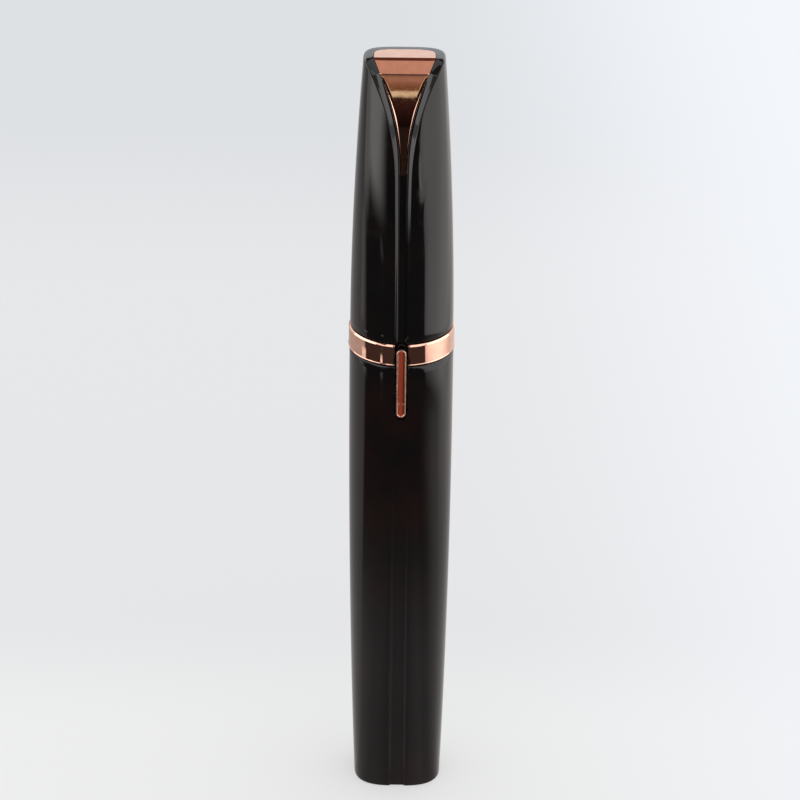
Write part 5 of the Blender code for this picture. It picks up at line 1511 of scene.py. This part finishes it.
class TRIMMER_OT_stage(bpy.types.Operator):
    """Make the floor, the soft light and the camera"""
    bl_idname = "trimmer.stage"
    bl_label = "Stage"

    def execute(self, context):
        self.floor(context)
        self.light(context)
        self.cards()
        self.camera(context)
        context.scene.view_settings.view_transform = "Standard"
        return {"FINISHED"}

    def floor(self, context):
        sizes = values("stage")
        deselect()
        bpy.ops.mesh.primitive_circle_add(vertices=96, radius=8.0, fill_type="NGON")
        floor = named("floor")
        finish = Finish("floor_paper")
        across, along, _ = finish.axes()
        tone = finish.blend(finish.ramp(along, 0.19, 0.29), sizes.floor, sizes.floor_back)
        tone = finish.blend(finish.ramp(along, 0.055, 0.01), tone, sizes.floor_front)
        # Painted light: lighter floor colour towards the right, standing in for light from that side.
        tone = finish.blend(finish.ramp(across + along * 0.06, 0.012, 0.115), tone, sizes.floor_right_painted_light)
        kept = sizes.glow_share
        finish.set(Emission_Color=tone, Emission_Strength=kept, Roughness=0.9, Specular_IOR_Level=0.0)
        finish.set(Base_Color=finish.blend(1.0 - kept, (0.0, 0.0, 0.0), tone))
        finish.bump(finish.noise(900.0, 3.0), 0.00001)
        floor.data.materials.append(finish.material)

    def light(self, context):
        sizes = values("stage")
        world = bpy.data.worlds.new("studio")
        context.scene.world = world
        tree = Tree(world)
        background = tree.nodes["Background"].inputs
        camera, glossy, through = tree.outputs(
            "LightPath", ("Is Camera Ray", "Is Glossy Ray", "Is Transmission Ray"))
        seen = camera.maths("MAXIMUM", glossy).maths("MAXIMUM", through)
        tree.plug(background["Color"], (0.94, 0.96, 0.98))
        tree.plug(background["Strength"], tree.ramp(seen, 0.0, 1.0, sizes.haze, sizes.sky))
        deselect()
        bpy.ops.object.light_add(type="SUN", location=(0.0, 0.0, 1.0))
        sun = named("soft_sun")
        sun.data.energy = sizes.sun
        sun.data.angle = math.radians(110.0)
        sun.rotation_euler = (math.radians(-8.0), math.radians(14.0), 0.0)
        sun.visible_glossy = False

    def cards(self):
        card("table_reflection", table_glow(), lambda u, v: around(math.tau * u, 1.25 * v, 0.0002), 96, 12)
        card("room_reflection", room_glow(), arc(-14.0, 14.0, 1.0, 0.0003, 0.30))
        glows = {name: plain_glow(name, tone, strength) for name, (tone, strength) in GLOWS.items()}
        glows["side"] = plain_glow("side", (1.0, 0.99, 0.98), values("stage").side)
        for name, (kind, *place) in STANDING.items():
            card(name, glows[kind], arc(*place))
        card("fold_flag", glows["fold"], lambda u, v: (0.5 * u - 0.25, 1.5 * v - 0.30, 1.2), 2, 2)
        card("facet_card", glows["facet"], lambda u, v: (0.7 * u - 0.35, -0.30 - 0.70 * v, 1.2), 2, 2)
        card("back_flag", glows["fold"], lambda u, v: (0.5 * u - 0.25, 1.2, 0.5 + 0.7 * v), 2, 2)

    def camera(self, context):
        sizes = values("stage")
        target = Vector(sizes.target)
        away = Vector((0.0, -math.cos(sizes.elevation), math.sin(sizes.elevation)))
        data = bpy.data.cameras.new("camera")
        data.lens = sizes.lens
        data.sensor_width = 36.0
        data.clip_start = 0.01
        data.clip_end = 30.0
        camera = bpy.data.objects.new("camera", data)
        context.scene.collection.objects.link(camera)
        turned_to = (-away).to_track_quat("-Z", "Y").to_matrix().to_4x4()
        camera.matrix_world = (Matrix.Translation(target + away * sizes.distance) @ turned_to
                               @ Matrix.Rotation(sizes.roll, 4, "Z"))
        context.scene.camera = camera


class TRIMMER_PT_panel(bpy.types.Panel):
    """Lists the pieces' operators and their sizes"""
    bl_idname = "TRIMMER_PT_panel"
    bl_label = "Eyebrow Trimmer"
    bl_space_type = "VIEW_3D"
    bl_region_type = "UI"
    bl_category = "Trimmer"

    def draw(self, context):
        for operator in OPERATORS:
            self.layout.operator(operator.bl_idname)
        for name, group in GROUPS.items():
            box = self.layout.box()
            box.label(text=name.replace("_", " ").capitalize())
            for field in group.__annotations__:
                box.prop(getattr(context.scene, name), field)


OPERATORS = (
    TRIMMER_OT_finishes, TRIMMER_OT_barrel, TRIMMER_OT_cap, TRIMMER_OT_inlay, TRIMMER_OT_band,
    TRIMMER_OT_switch_bar, TRIMMER_OT_neck, TRIMMER_OT_head, TRIMMER_OT_guard, TRIMMER_OT_battery,
    TRIMMER_OT_inside, TRIMMER_OT_stage,
)
CLASSES = (*GROUPS.values(), *OPERATORS, TRIMMER_PT_panel)


def register():
    for item in CLASSES:
        bpy.utils.register_class(item)
    for name, group in GROUPS.items():
        setattr(bpy.types.Scene, name, PointerProperty(type=group))


def unregister():
    for name in GROUPS:
        delattr(bpy.types.Scene, name)
    for item in reversed(CLASSES):
        bpy.utils.unregister_class(item)


def main():
    register()
    for operator in OPERATORS:
        family, name = operator.bl_idname.split(".")
        getattr(getattr(bpy.ops, family), name)()
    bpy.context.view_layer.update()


if __name__ == "__main__":
    main()
